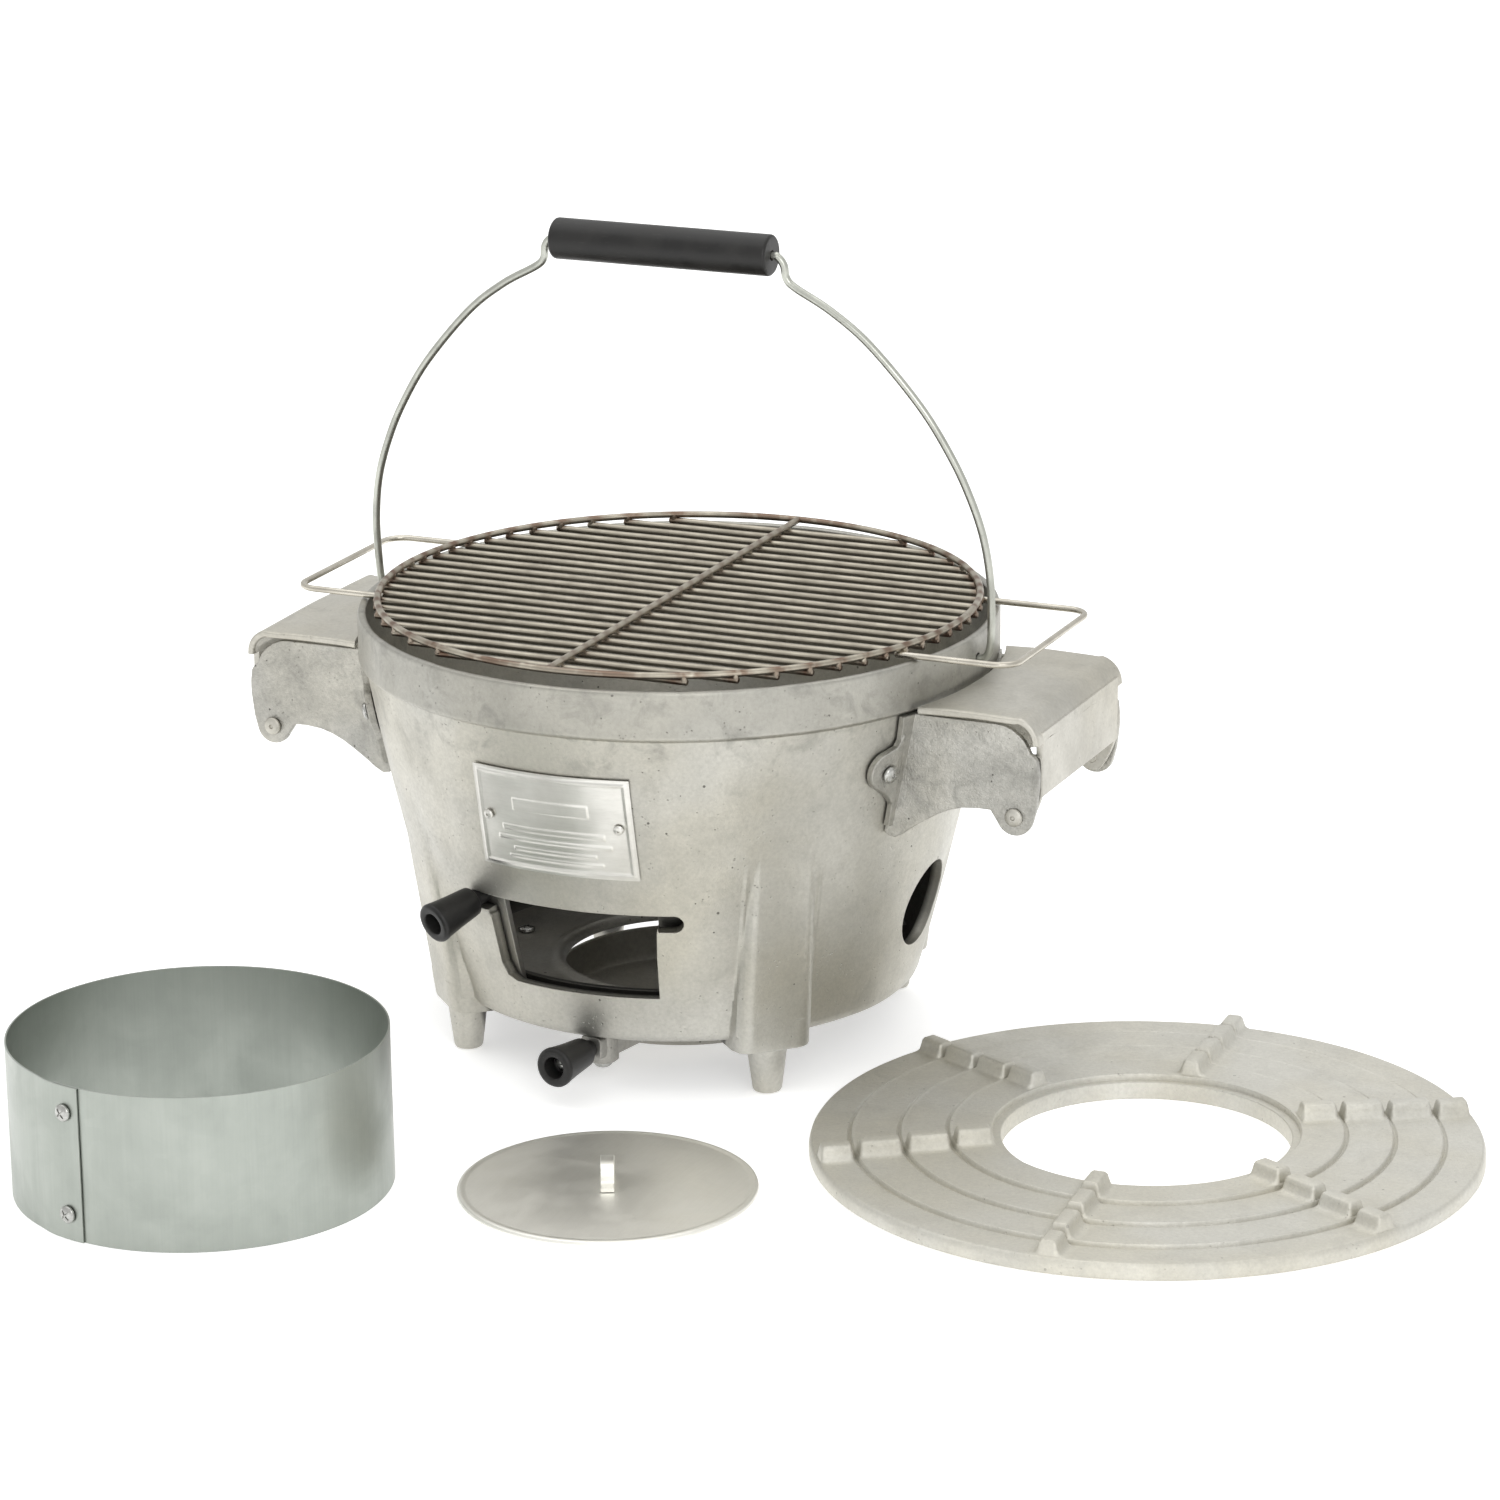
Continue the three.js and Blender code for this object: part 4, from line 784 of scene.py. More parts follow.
def ash_floor():
    low, high = heights("ash_floor")
    top = low + 2.8
    edge = half_width("ash_floor")
    section = [(60, low), (edge - 0.6, low), (edge, low + 0.6), (edge, top - 0.4), (edge - 0.6, top), (70, top),
               (67.5, top + 0.4), (65.6, high - 0.5), (64, high), (62.6, high - 0.3), (61, top + 0.6),
               (60.2, low + 1)]
    disc = turned(section, 180)
    holes = [rod(Vector((s * ASH_SCREW_X, 0, low - 3)), Vector((s * ASH_SCREW_X, 0, top + 3)), 2.4, 20)
             for s in (-1, 1)]
    piece("ash_floor_casting", cut(disc, *holes), "pot", PAN_CASTING, "ash_floor")
    for s, word in ((-1, "left"), (1, "right")):
        position = Vector((s * ASH_SCREW_X, 0, top + CLEAR))
        screw = moved(domed_screw(4.4, 2.6, 2.0, 6.8, "cross"), aimed(Vector((0, 0, 1)), position, 20 + 30 * s))
        fitting(f"ash_floor_screw_{word}", screw)


def domed_screw(head_r, head_h, shank_r, length, drive, sides=32, origin=POT):
    """A screw along +Z with its head on z = 0: drive is "cross", "slot" or "dimple"."""
    dome = [(head_r * math.cos(math.radians(a)), head_h * (0.3 + 0.7 * math.sin(math.radians(a))))
            for a in range(0, 90, 12)]
    shank = [(0, -length), (shank_r - 0.4, -length), (shank_r, -length + 0.5), (shank_r, 0)]
    section = shank + [(head_r - 0.3, 0), (head_r, 0.25)] + dome + [(0, head_h)]
    screw = turned(section, sides, origin)
    if drive == "dimple":
        return cut(screw, turned([(0, head_h - 1.1), (head_r * 0.2, head_h - 0.9), (head_r * 0.32, head_h + 1),
                                  (0, head_h + 1)], 20, origin))
    width = head_r * 0.2
    tools = []
    for turn in ((0, 90) if drive == "cross" else (0,)):
        reach = head_r * (0.62 if drive == "cross" else 1.2)
        bar = [(-reach, head_h - 1.0), (reach, head_h - 1.0), (reach + 0.4, head_h + 1),
               (-reach - 0.4, head_h + 1)]
        spin = Matrix.Rotation(math.radians(turn), 4, "Z")
        tools.append(moved(slab(bar, -width / 2, width / 2, origin), spin, origin))
    return cut(screw, *tools)


PIVOT = Vector((2, -101, 0))
PAN_KNOB_AZ = -8
PAN_KNOB_Z = 20.5


def ash_pan():
    low, high = heights("ash_pan")
    r = 65.0
    section = [(0, low), (r - 5, low), (r - 2.4, low + 0.7), (r - 0.6, low + 2.6), (r, low + 5),
               (r, high - 0.5), (r - 0.6, high), (r - 2, high), (r - 2.6, high - 0.6), (r - 2.8, low + 7),
               (r - 4, low + 4.2), (r - 7, low + 3.2), (0, low + 3.2)]
    pan = turned(section, 160)
    arm_rings = []
    for z, inset in ((14.0, 1.2), (14.8, 0.3), (16.0, 0.0), (high - 0.8, 0.0), (high, 0.8)):
        half = 17 + (z - 14) * 0.35 - inset
        arm_rings.append([Vector((-half, -61.8, z)), Vector((half, -61.8, z)), Vector((9.4 - inset, -101, z)),
                          Vector((-5.4 + inset, -101, z))])
    lug = turned([(0, 11), (6.8, 11), (8, 12), (8, high - 0.7), (7.3, high), (0, high)], 48, POT + PIVOT * MM)
    nose = slab(rounded([(-6, 14.5), (6, 14.5), (6, 26.5), (-6, 26.5)], 3), -11, 0, POT, 0.8)
    nose = moved(nose, Matrix.Translation(PIVOT) @ Matrix.Rotation(math.radians(PAN_KNOB_AZ), 4, "Z"))
    body = joined(pan, loft(arm_rings), lug, nose)
    body = cut(body, rod(PIVOT, PIVOT + Vector((0, 0, 40)), 2.75, 24))
    piece("ash_pan_casting", roughened(body, 0.2, 18, 3), "ash_pan", PAN_CASTING, "ash_pan")
    under = PIVOT + Vector((0, 0, 10.7))
    bolt = moved(domed_screw(4.6, 3.4, 2.5, 19, "slot"), aimed(Vector((0, 0, -1)), under))
    fitting("damper_pivot_bolt", bolt)


GRATE_SLOT_PITCH = 17


def charcoal_grate():
    low, high = heights("charcoal_grate")
    r = half_width("charcoal_grate")
    disc = turned([(0, low), (r - 0.8, low), (r, low + 0.8), (r, high - 0.8), (r - 0.8, high), (0, high)], 128)
    slots = []
    for row in range(-6, 7):
        y = row * GRATE_SLOT_PITCH
        reach = math.sqrt((r - 12) ** 2 - y ** 2)
        for side in (-1, 1):
            outline = rounded([(side * 7, y - 4.5), (side * reach, y - 4.5), (side * reach, y + 4.5),
                               (side * 7, y + 4.5)], 4.3, 5)
            slots.append(loft([[Vector((x, y, z)) for x, y in outline] for z in (low - 3, high + 3)]))
    body = cut(disc, merged(*slots))
    piece("charcoal_grate_casting", body, "charcoal_grate", IRON, "charcoal_grate")


# ---- knobs and shutter

KNOB_LENGTH = 26.0
KNOB_WELL = 9  # depth of the screw's well in a knob's face


def knob(neck):
    """A tapered knob along +Z with a screw well in its face; its neck starts on z = 0."""
    face = neck + KNOB_LENGTH
    section = [(2.35, 0), (4.0, 0), (4.3, 0.4), (4.3, neck - 0.4), (4.6, neck), (6.9, neck), (7.4, neck + 0.6),
               (7.7, neck + 3), (8.6, neck + 13), (9.7, face - 4.4), (10.1, face - 2.4), (10.1, face - 1.4),
               (9.7, face - 0.6), (8.9, face - 0.1), (8.2, face), (6.2, face), (5.6, face - 0.4),
               (5.4, face - 1.2), (5.3, face - KNOB_WELL + 0.4), (4.9, face - KNOB_WELL),
               (2.35, face - KNOB_WELL)]
    return turned(section, 64)


def knob_screw(neck, grip):
    """The screw in a knob's well; grip is how far it reaches past the neck."""
    seat = neck + KNOB_LENGTH - KNOB_WELL + CLEAR
    return moved(domed_screw(3.9, 2.5, 2.0, seat + grip, "slot"), Matrix.Translation(Vector((0, 0, seat))))


def knob_set(prefix, body, neck, grip, matrix):
    piece(f"{prefix}_moulding", moved(knob(neck), matrix), body, BLACK, prefix)
    fitting(f"{prefix}_screw", moved(knob_screw(neck, grip), matrix), body)


def shutter():
    """The curved plate behind the door, open at rest, with its knob in the slot's left end."""
    right = -SLOT_END + 5.7
    section = layer_section(DOOR_LOW - 3.8, DOOR_HIGH + 3.8, -9.7, -6.7, 10)
    eased = rounded(section, 0.7, 2)
    plate = turned(eased, 49, POT, right - 49, 49)
    hole_at, direction = wall_point(-SLOT_END, SLOT_Z, -14)
    plate = cut(plate, rod(hole_at, hole_at + direction * 14, 2.4, 24))
    piece("draft_shutter_casting", plate, "shutter", PAN_CASTING, "draft_shutter")
    position, direction = wall_point(-SLOT_END, SLOT_Z, -6.7 + CLEAR)
    knob_set("shutter_knob", "shutter", WALL + 0.7 + 2.5, 3.6, aimed(direction, position))


def pan_knob():
    direction = out(PAN_KNOB_AZ, 1)
    position = PIVOT + Vector((0, 0, PAN_KNOB_Z)) + direction * 11.3
    knob_set("damper_knob", "ash_pan", 6.5, 5.5, aimed(direction, position))


# ---- nameplate

PLATE_HALF = 41.0
RIVET_X, RIVET_Z = 34, 148


def name_plate():
    """A blank plate with a raised border and plain embossed bars, bowed to the wall."""
    low, high = heights("name_plate")
    columns, rows = 164, 106
    bars = ((155.5, 3.4, 20), (142.6, 1.5, 27), (137.0, 1.1, 30), (131.6, 1.1, 22), (127.2, 0.9, 25))

    def relief(x, z):
        edge = min(PLATE_HALF - abs(x), z - low, high - z)
        rim = math.exp(-((edge - 2.6) / 0.75) ** 2) * 0.7
        bar = 0.0
        for at, half, reach in bars:
            inside = max(0.0, 1 - max(0.0, abs(z - at) - half + 0.6) / 0.9) * (1 if abs(x) < reach else 0)
            bar = max(bar, inside * 0.45)
        dent = 0.35 * noise.noise(Vector((x / 16, z / 16, 3.7)))
        return rim + bar + dent * min(1.0, edge / 6)

    front, back = [], []
    for j in range(rows + 1):
        z = low + (high - low) * j / rows
        for i in range(columns + 1):
            x = -PLATE_HALF + 2 * PLATE_HALF * i / columns
            azimuth = math.degrees(math.asin(x / wall_r(z)))
            height = 1.35 + relief(x, z) * 0.8
            front.append(out(azimuth, wall_r(z) + height, z))
            back.append(out(azimuth, wall_r(z) + 0.6, z))
    count = columns + 1
    offset = len(front)
    faces = []
    for j in range(rows):
        for i in range(columns):
            a = j * count + i
            quad = (a, a + 1, a + 1 + count, a + count)
            faces.append(quad)
            faces.append(tuple(offset + k for k in reversed(quad)))
    for i in range(columns):
        faces += [(i, offset + i, offset + i + 1, i + 1)]
        a = rows * count + i
        faces += [(a, a + 1, offset + a + 1, offset + a)]
    for j in range(rows):
        for a in (j * count, j * count + columns):
            faces += [(a, a + count, offset + a + count, offset + a)]
    plate = shell(front + back, faces)
    holes, rivets = [], []
    for side, word in ((-1, "left"), (1, "right")):
        azimuth = math.degrees(math.asin(side * RIVET_X / wall_r(RIVET_Z)))
        at, direction = wall_point(azimuth, RIVET_Z, 0)
        holes.append(rod(at - direction * 3, at + direction * 6, 1.9, 20))
        rivet = domed_screw(2.6, 1.7, 1.5, 5.6, "dimple", 24)
        rivets.append((word, moved(rivet, aimed(direction, at + direction * 2.0))))
    piece("name_plate_sheet", cut(plate, *holes), "pot", PLATE, "name_plate")
    for word, rivet in rivets:
        name = f"name_plate_rivet_{word}"
        piece(f"{name}_part", rivet, "pot", PLATE, name)


# ---- side brackets, lids, pins and screws

PIN_X, PIN_Z = 201.5, 147.6
CHEEK_Y = 57.0
CHEEK_TOP = 193.5
FLANGE_TURN = 25.4  # from the bracket's middle to a flange screw, in degrees
FLANGE_Z = 166


def cheek_outline():
    """A cheek's (x, z) outline, from the band down the wall, round the pin's lobe and up the outer edge."""
    points = [(139, CHEEK_TOP), (139, 150), (133.5, 133), (136, 130.2), (139.5, 129.6), (144, 132),
              (150, 136.4), (156, 140.3), (162, 144), (168, 146.8), (174, 148.6), (182, 149.4), (189, 149.4)]
    points += arc(PIN_X, PIN_Z, 9.6, 205, 345, 12)
    points += [(212.6, 152), (213.3, 158), (214, 164), (214, 170), (213.2, 176), (211.6, 178.6), (209.6, 180),
               (208.6, 182.4), (206.8, 185.6), (204.2, 188.4), (200, 191.4), (196, 193), (192, CHEEK_TOP)]
    return points


def turned_round(bm, left):
    """The right side's piece, turned half round for the left side."""
    return moved(bm, Matrix.Rotation(math.pi, 4, "Z")) if left else bm


def bracket(word):
    """Two cheeks on a curved back, with a flange outside each cheek for its screw."""
    left = word == "left"
    cheeks = [slab(cheek_outline(), *sorted((s * CHEEK_Y, s * (CHEEK_Y - 4))), POT, 0.9) for s in (-1, 1)]
    back = turned(layer_section(136, CHEEK_TOP, 0.5, 4), 40, POT, 90 - 23.5, 47)
    flanges = []
    for s in (-1, 1):
        rings = []
        for offset, shrink in ((0.5, 0.0), (3.6, 0.0), (4.3, 0.35), (4.6, 1.1)):
            ring = []
            outline = [(-7, 18.5 - shrink), (-3.5, 12.5 - shrink)] + arc(0.8, 0.5, 10.2 - shrink, 82, -68, 12)
            outline += [(0.5, -12 + shrink), (-2.5, -15 + shrink), (-7, -21)]
            for u, v in outline:
                z = FLANGE_Z + v
                azimuth = 90 + s * FLANGE_TURN + s * math.degrees(u / wall_r(z))
                ring.append(out(azimuth, wall_r(z) + offset, z))
            rings.append(ring)
        flanges.append(loft(rings))
    body = joined(cheeks[0], cheeks[1], back, *flanges)
    inside = turned([(0, 100), (wall_r(100) + 0.5, 100)] + [(wall_r(z) + 0.5, z) for z in range(110, 195, 12)]
                    + [(wall_r(194) + 0.5, 194.3), (BAND_R + 0.5, 194.3), (BAND_R + 0.5, 240), (0, 240)], 160)
    pins = rod(Vector((PIN_X, -70, PIN_Z)), Vector((PIN_X, 70, PIN_Z)), 3.35, 32)
    tools = [inside, pins]
    for s in (-1, 1):
        at, direction = wall_point(90 + s * FLANGE_TURN, FLANGE_Z, 0)
        tools.append(rod(at - direction * 2, at + direction * 12, 2.5, 24))
    body = roughened(cut(body, *tools), 0.4, 14, 5 if left else 6)
    piece(f"handle_bracket_{word}_casting", turned_round(body, left), "pot", ROUGH_CASTING,
          f"handle_bracket_{word}")


LID_OUT = 214.4
LID_TOP = 198.2
LID_T = 4.0
LID_INNER_R = 162.9


def lid_section(y, crown):
    """The lid's (x, z) section: along the top from the band, round the corner and down the outer face."""
    corner = 13.0
    inner_x = math.sqrt(max(LID_INNER_R ** 2 - y * y, 0))
    steps = [inner_x + (LID_OUT - corner - inner_x) * i / 10 for i in range(11)]
    top = [(x, LID_TOP - 0.7 + crown * math.sin(math.pi * i / 10)) for i, x in enumerate(steps)]
    bend = arc(LID_OUT - corner, LID_TOP - corner, corner, 90, 0, 8)[1:]
    return top + bend


def handle_lid(word):
    """The hinged cover: a crowned top bent down outside, with ears on the pins inside the cheeks."""
    left = word == "left"
    half_wide, half_narrow = 58.6, 52.4
    stations = [-half_wide + d for d in (0.0, 0.35, 1.2, 2.6)]
    across = [-half_wide + 5 + (2 * half_wide - 10) * i / 36 for i in range(37)]
    stations = stations + across + [-y for y in reversed(stations)]
    rings = []
    for y in stations:
        edge = half_wide - abs(y)
        ease = 1.1 * (1 - min(1.0, edge / 1.2)) ** 2
        dish = 0.7 * math.cos(y / half_wide * math.pi / 2)
        section = [(x, z + dish * (x < LID_OUT - 4)) for x, z in lid_section(y, 0.6)]
        section.append((LID_OUT, 184.4 + 0.5 * math.sin(y / 9) + 0.3 * math.sin(y / 3.7)))
        over, under = [], []
        for i, point in enumerate(section):
            a, b = Vector(section[max(i - 1, 0)]), Vector(section[min(i + 1, len(section) - 1)])
            inward = Vector(((b - a).y, -(b - a).x)).normalized()
            over.append(Vector(point) + inward * ease)
            under.append(Vector(point) + inward * (LID_T - ease))
        rings.append([Vector((x, y, z)) for x, z in over + list(reversed(under))])
    top = loft(rings)
    inner_face, outer_face = LID_OUT - LID_T, LID_OUT - 0.05
    plate = rounded([(inner_face, 190), (inner_face, 157), (outer_face, 157), (outer_face, 190)],
                    (0, 1.2, 1.2, 0), 3)
    plate = slab(plate, -half_narrow, half_narrow, POT, 0.9)
    ears = []
    for s in (-1, 1):
        outline = rounded([(LID_OUT - 0.6, 178), (LID_OUT - 0.6, 158), (LID_OUT - 2.5, 152),
                           (PIN_X + 7.2, PIN_Z - 2), (PIN_X + 4.6, PIN_Z - 6), (PIN_X, PIN_Z - 7.6),
                           (PIN_X - 5, PIN_Z - 5.6), (PIN_X - 7.4, PIN_Z), (PIN_X - 5, PIN_Z + 7),
                           (PIN_X + 5, 178)], 2.5, 3)
        ears.append(slab(outline, *sorted((s * half_narrow, s * (half_narrow - 4))), POT, 0.5))
    body = roughened(merged(top, plate, *ears), 0.5, 22, 8 if left else 9)
    piece(f"handle_lid_{word}_casting", turned_round(body, left), f"lid_{word}", LID_CASTING,
          f"handle_lid_{word}")


def bracket_fittings(word):
    """The lid's hinge pins and the screws that hold the bracket to the wall."""
    left = word == "left"
    for place, s in (("front", -1), ("back", 1)):
        side = -s if left else s
        rivet = domed_screw(4.5, 2.3, 2.95, 9.5, "dimple", 32)
        position = Vector((PIN_X, side * (CHEEK_Y + CLEAR), PIN_Z))
        pin = moved(rivet, aimed(Vector((0, side, 0)), position))
        name = f"handle_pin_{word}_{place}"
        piece(f"{name}_part", turned_round(pin, left), "pot", LID_CASTING, name)
        at, direction = wall_point(90 + side * FLANGE_TURN, FLANGE_Z, 4.6 + CLEAR)
        screw = moved(domed_screw(4.4, 2.6, 2.0, 8, "dimple"), aimed(direction, at, 35))
        fitting(f"bracket_screw_{word}_{place}", turned_round(screw, left))


# ---- bail

PIVOT_Z = 207.0
BAIL_TOP = 195  # of the grip's axis above the pivots
BAIL_TILT = 3.7
BAIL_HALF = ((30, BAIL_TOP), (57, BAIL_TOP), (61, 194.3), (64, 190.5), (65.2, 184), (70, 179.5), (88, 169.5),
             (108, 154), (133, 126), (148.5, 102), (158, 82), (164.5, 62), (167.6, 40), (167.6, 18), (166.6, 6),
             (163.6, 0.8), (157, 0), (151, 0))
TILT = Matrix.Translation(Vector((0, 0, PIVOT_Z))) @ Matrix.Rotation(math.radians(BAIL_TILT), 4, "X")


def bail():
    """The wire hoop with its grip."""
    right = [(x, 0, z) for x, z in BAIL_HALF]
    left = [(-x, 0, z) for x, z in reversed(BAIL_HALF)]
    wire = tube(smooth_path(left + right, 7), 1.96, 18)
    piece("bail_wire_part", moved(wire, TILT), "bail", BAIL_STEEL, "bail_wire")
    half = 58.0
    section = [(2.55, -half), (3.0, -half)] + arc(8.6, 1.6 - half, 1.6, -90, 0, 3)
    section += [(10.2, -half * 0.3), (10.2, half * 0.3)] + arc(8.6, half - 1.6, 1.6, 0, 90, 3)
    section += [(3.0, half), (2.55, half)]
    grip = moved(turned(section, 64), Matrix.Rotation(math.pi / 2, 4, "Y"))
    grip = moved(grip, TILT @ Matrix.Translation(Vector((0, 0, BAIL_TOP))))
    piece("bail_grip_moulding", grip, "grip", BLACK, "bail_grip")


# ---- cooking grate

RING_R = 150.0
WIRE = 1.7
LOOP_Z = RIM_Z + 0.3 + 1.6
BAR_Z = LOOP_Z + 0.4
HOOP_Z = BAR_Z + 2 * WIRE - 0.25


def cooking_grate():
    """The ring and spine with the bars welded under them, and the two loop handles."""
    rng = random.Random(7)
    hoop = tube([out(a * 2, RING_R, HOOP_Z) for a in range(180)], WIRE, 14, closed=True)
    parts = [hoop, tube([(0, -RING_R, HOOP_Z), (0, RING_R, HOOP_Z)], WIRE, 14)]
    for i in range(-11, 12):
        y = i * BAR_PITCH
        reach = math.sqrt(RING_R ** 2 - y * y) + 1.4
        ends = (-reach - rng.uniform(-0.3, 0.5), reach + rng.uniform(-0.3, 0.5))
        path = [(ends[0] + (ends[1] - ends[0]) * k / 12, y + 0.25 * math.sin(k * 1.7 + i), BAR_Z)
                for k in range(13)]
        parts.append(tube(path, WIRE, 12))
        weld_x = math.sqrt(RING_R ** 2 - y * y)
        for x in (-weld_x, weld_x):
            bead = [(x, y, BAR_Z + 0.7), (x * 0.999, y, HOOP_Z - 0.4)]
            parts.append(tube(bead, WIRE * rng.uniform(1.02, 1.2), 10))
        parts.append(tube([(0, y, BAR_Z + 0.8), (0, y, HOOP_Z - 0.6)], WIRE * rng.uniform(0.95, 1.1), 10))
    piece("cooking_grate_wires", merged(*parts), "cooking_grate", STAINLESS, "cooking_grate")
    for word, reach, turn in (("right", 199.0, 0), ("left", 188.0, math.pi)):
        side, bend = 52.9, 11.0
        corner = arc(reach - bend, side - bend, bend, 90, 0, 8)
        half = [(139, side)] + [(139 + (reach - bend - 139) * k / 6, side) for k in range(1, 6)] + corner
        path = [(x, y, LOOP_Z) for x, y in half] + [(x, -y, LOOP_Z) for x, y in reversed(half)]
        loop = moved(tube(path, 1.58, 14), Matrix.Rotation(turn, 4, "Z"))
        name = f"grate_loop_{word}"
        piece(f"{name}_wire", loop, "cooking_grate", LOOP_WIRE, name)


# ---- sheet ring

SHEET_R = 90.9
SHEET_T = 0.8
SEAM = -18.0
LAP = 16.0


def sheet_ring():
    """The rolled sheet with its lapped seam, and the screws and nuts through the lap."""
    height = heights("charcoal_ring")[1]
    lap = math.degrees(LAP / SHEET_R)
    total = 360 + lap
    steps, levels = 220, 24

    def radius(turn):
        t = min(1.0, max(0.0, (turn - 350) / 9))
        return SHEET_R - SHEET_T - CLEAR + (SHEET_T + CLEAR) * t * t * (3 - 2 * t)

    rings = []
    for i in range(steps + 1):
        turn = total * i / steps
        azimuth = SEAM + turn - 360
        flat = min(1.0, (360 - turn) / 20 if turn < 360 else 0)
        ring = []
        for thickness, order in ((0, range(levels + 1)), (SHEET_T, range(levels, -1, -1))):
            for k in order:
                z = height * k / levels
                wave = 0.25 * noise.noise(Vector((turn / 24, z / 40, 1.3))) * flat
                ring.append(out(azimuth, radius(turn) + wave - thickness, z))
        rings.append(ring)
    sheet = loft(rings, SHEET)
    azimuth = SEAM + lap / 2
    tools, fittings = [], []
    for word, share in (("low", 0.17), ("high", 0.83)):
        direction = out(azimuth, 1)
        at = direction * SHEET_R + Vector((0, 0, share * height))
        tools.append(rod(at - direction * 8, at + direction * 8, 2.0, 20, SHEET))
        screw = domed_screw(4.2, 2.6, 1.6, 5.5, "cross", 40, SHEET)
        screw = moved(screw, aimed(direction, at + direction * CLEAR, 28), SHEET)
        fittings.append((f"ring_screw_{word}", screw))
        outline = arc(0, 0, 3.6, 0, 300, 5)
        layers = ((0, 0.94), (0.3, 1), (2.1, 1), (2.4, 0.94))
        nut = loft([[Vector((x * k, y * k, z)) for x, y in outline] for z, k in layers], SHEET)
        nut = cut(nut, rod(Vector((0, 0, -4)), Vector((0, 0, 6)), 1.95, 24, SHEET))
        seat = at - direction * (2 * SHEET_T + 2 * CLEAR + 2.4 + 0.2)
        fittings.append((f"ring_nut_{word}", moved(nut, aimed(direction, seat), SHEET)))
    piece("charcoal_ring_sheet", cut(sheet, *tools), "charcoal_ring", GALVANISED,
          "charcoal_ring")
    for name, bm in fittings:
        fitting(name, bm, "charcoal_ring")


# ---- small lid

STRAP_TURN = 114.9


def small_lid():
    """The dished disc with a rolled bead, and the bent strap on its middle."""
    r = half_width("snuffer_lid")
    crown = 5.2
    dome = [(r - 4.6 - (r - 16) * i / 9, 2.5 + (crown - 2.5) * math.sin(math.pi / 2 * i / 9))
            for i in range(10)]
    under = [(x, z - 1.9) for x, z in reversed(dome)]
    bead = [(r - 3.4, 0.15), (r - 1.6, 0), (r - 0.5, 0.4), (r, 1.3), (r - 0.4, 2.4), (r - 1.4, 2.9),
            (r - 2.6, 2.75), (r - 3.6, 2.45)]
    section = [(0, crown - 1.9)] + under + bead + dome + [(0, crown)]
    disc = turned(section, 200, SMALL_LID)
    piece("snuffer_lid_sheet", disc, "snuffer_lid", LID_SHEET, "snuffer_lid")
    half, thick, top = 16.5, 1.9, 10.5
    line = [(-half, 0), (-half + 5, 0), (-half + 7.2, 0.5), (-half + 8.4, 2.4), (-half + 8.9, 5.4),
            (-half + 10.4, 7.6), (-half + 13.4, top - thick), (0, top - thick + 0.1)]
    line = [(p.x, p.z) for p in smooth_path([(x, 0, z) for x, z in line], 3)]
    line += [(-x, z) for x, z in reversed(line[:-1])]
    above = []
    for i, (x, z) in enumerate(line):
        a, b = line[max(i - 1, 0)], line[min(i + 1, len(line) - 1)]
        along = Vector((b[0] - a[0], b[1] - a[1])).normalized()
        above.append((x - along.y * thick, z + along.x * thick))
    outline = line + list(reversed(above))
    strap = slab(outline, -3.3, 3.3, SMALL_LID, 0.5)
    lift = Matrix.Translation(Vector((0, 0, crown + CLEAR)))
    strap = moved(strap, lift @ Matrix.Rotation(math.radians(STRAP_TURN), 4, "Z"), SMALL_LID)
    piece("snuffer_lid_strap_part", strap, "snuffer_lid", LID_SHEET, "snuffer_lid_strap")


# ---- pot ring

TERRACES = (160.5, 140.5, 117.0, 94.0, 73.3)
RING_EDGE = 8.0
RING_STEP = 1.2
RIB_TURN = 33.5  # of the first rib, in degrees


def ring_lug(index, azimuth):
    """One ridge of a rib, across one terrace, with a flared foot, sloping ends and a rounded back."""
    outer, inner = TERRACES[index] - (0.8 if index else 2.2), TERRACES[index + 1] + 1.4
    z0 = RING_EDGE + index * RING_STEP
    half = [(-10.5, -0.6), (-7.4, 0.25), (-5.6, 1.3), (-4.5, 4.2), (-3.9, 6.1), (-2.6, 7.0)]
    shape = half + [(-u, v) for u, v in reversed(half)]
    rings = []
    ends = ((0.0, 0.02), (0.3, 0.3), (0.9, 0.7), (1.5, 0.93), (2.4, 1.0))
    length = outer - inner
    for away, scale in ends + tuple((length - away, scale) for away, scale in reversed(ends)):
        rings.append([out(azimuth, inner + away, z0 + (v * scale if v > 0 else v))
                      + out(azimuth + 90, u * (0.8 + 0.2 * scale)) for u, v in shape])
    return loft(rings, RING)


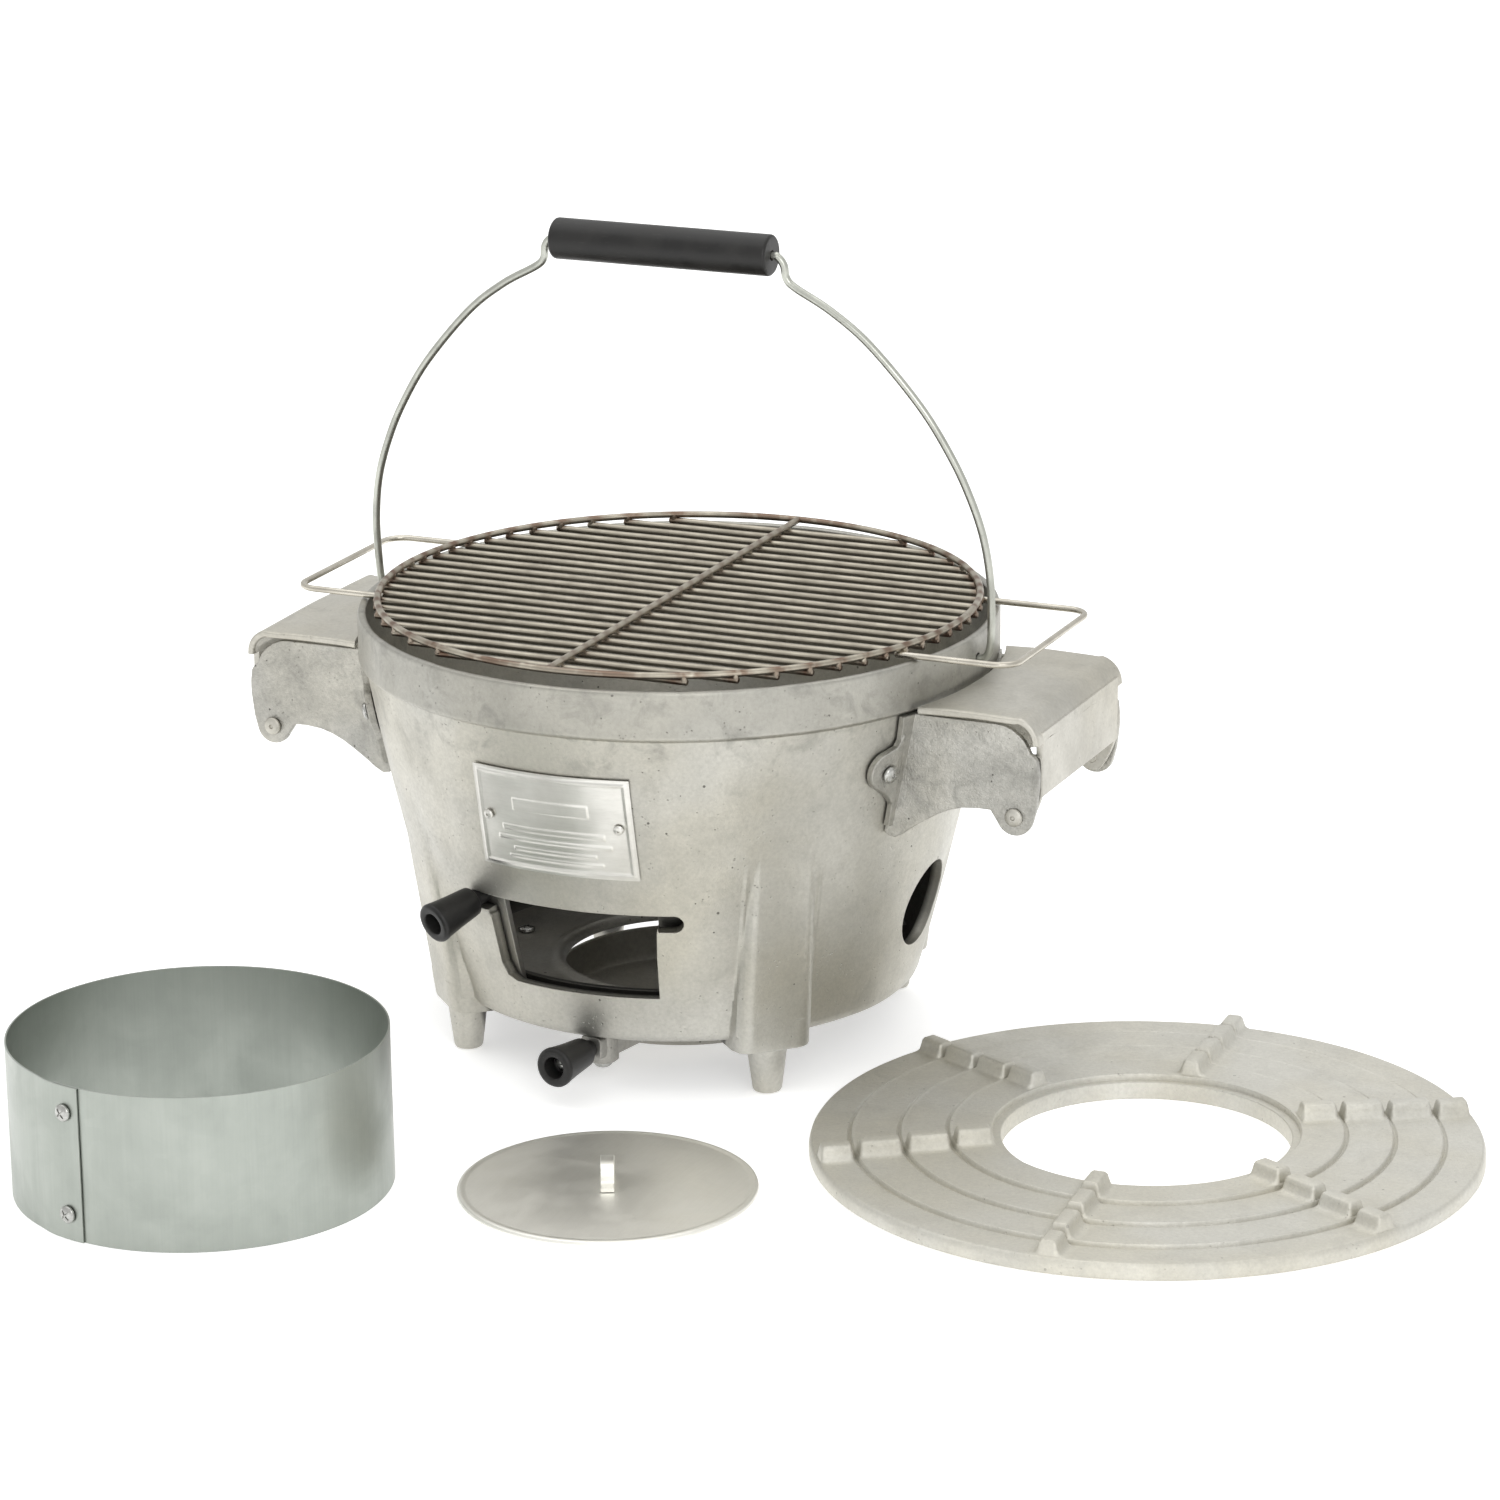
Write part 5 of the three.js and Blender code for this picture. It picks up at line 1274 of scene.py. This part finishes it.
def pot_ring():
    """The terraced ring, each step with a groove at its foot and a raised edge, and its six ribs."""
    r = half_width("pot_ring")
    section = [(69, 0), (78, 0), (78.6, 3.4), (r - 10.6, 3.4), (r - 10, 0), (r - 0.8, 0), (r, 0.8),
               (r, RING_EDGE - 3.6), (r - 0.5, RING_EDGE - 1.7), (r - 1.3, RING_EDGE - 0.5),
               (r - 2.4, RING_EDGE)]
    for i in range(1, 4):
        low, high = RING_EDGE + (i - 1) * RING_STEP, RING_EDGE + i * RING_STEP
        edge = TERRACES[i]
        section += [(edge + 1.9, low), (edge + 1.3, low - 0.8), (edge + 0.3, low - 1.1), (edge, low),
                    (edge - 0.2, high - 0.1), (edge - 0.7, high + 0.35), (edge - 1.6, high + 0.2),
                    (edge - 2.6, high)]
    top = RING_EDGE + 3 * RING_STEP
    hole = TERRACES[4]
    section += [(hole + 0.6, top), (hole, top - 0.5), (hole - 0.2, top - 3), (69.5, top - 3), (69, top - 3.5)]
    body = roughened(turned(section, 240, RING), 0.18, 24, 11)
    lugs = [ring_lug(i, 90 + RIB_TURN + 60 * rib) for rib in range(6) for i in range(4)]
    piece("pot_ring_casting", merged(body, *lugs), "pot_ring", RING_CASTING, "pot_ring", 50)


# ---- build

fire_pot()
ash_floor()
ash_pan()
charcoal_grate()
shutter()
pan_knob()
name_plate()
for side_word in ("left", "right"):
    bracket(side_word)
    handle_lid(side_word)
    bracket_fittings(side_word)
bail()
cooking_grate()
sheet_ring()
small_lid()
pot_ring()

# ---- floor, light and camera


def floor():
    """A pale floor, bright enough to run into the background."""
    n = Nodes("pale_floor")
    n.finish((0.9, 0.9, 0.9, 1), 0.8, n.bump(n.noise(30, 2), 0.05, 0.2), metallic=0.0)
    n.shader.inputs["Specular IOR Level"].default_value = 0.1
    n.shader.inputs["Emission Color"].default_value = (1, 1, 1, 1)
    n.shader.inputs["Emission Strength"].default_value = 0.45
    mesh = bpy.data.meshes.new("floor")
    size = 30.0
    square = [(-size, -size, 0), (size, -size, 0), (size, size, 0), (-size, size, 0)]
    mesh.from_pydata(square, [], [(0, 1, 2, 3)])
    mesh.materials.append(n.material)
    obj = placed("floor", mesh)
    obj.location.z = cad_bounds[0][2] - 0.0002


def area_light(name, position, target, size, power):
    """A soft lamp at a position, aimed at a target, all in metres and watts."""
    data = bpy.data.lights.new(name, "AREA")
    data.shape = "RECTANGLE"
    data.size, data.size_y = size
    data.energy = power
    obj = placed(name, data)
    obj.location = position
    obj.rotation_euler = (Vector(target) - Vector(position)).to_track_quat("-Z", "Y").to_euler()


def studio():
    world = bpy.data.worlds.new("studio")
    bpy.context.scene.world = world
    world.use_nodes = True
    sky = world.node_tree.nodes["Background"]
    sky.inputs["Color"].default_value = (1, 1, 0.99, 1)
    sky.inputs["Strength"].default_value = 0.85
    centre = POT + Vector((0, 0, 0.1))
    area_light("overhead", POT + Vector((-0.3, 0.2, 2.3)), centre, (3.0, 2.6), 22)
    area_light("key", POT + Vector((1.3, -1.9, 1.2)), POT + Vector((0.3, -0.4, 0)), (1.2, 1.2), 12)


def camera():
    """The photographed view, from the front and to the right, a little above."""
    data = bpy.data.cameras.new("camera")
    data.lens = 130.15
    data.sensor_width = 36
    data.clip_end = 100
    obj = placed("camera", data)
    bearing, distance, height = 24.864, 2604.6, 945.6
    roll = -0.607
    obj.location = POT + out(bearing, distance, height) * MM
    forward = Vector((-0.3902, 0.8722, -0.2951)).normalized()
    right = forward.cross(Vector((0, 0, 1))).normalized()
    up = right.cross(forward)
    c, s = math.cos(math.radians(roll)), math.sin(math.radians(roll))
    right, up = right * c + up * s, up * c - right * s
    obj.rotation_euler = Matrix((right, up, -forward)).transposed().to_euler()
    bpy.context.scene.camera = obj


floor()
studio()
camera()
bpy.context.scene.view_settings.view_transform = "Standard"
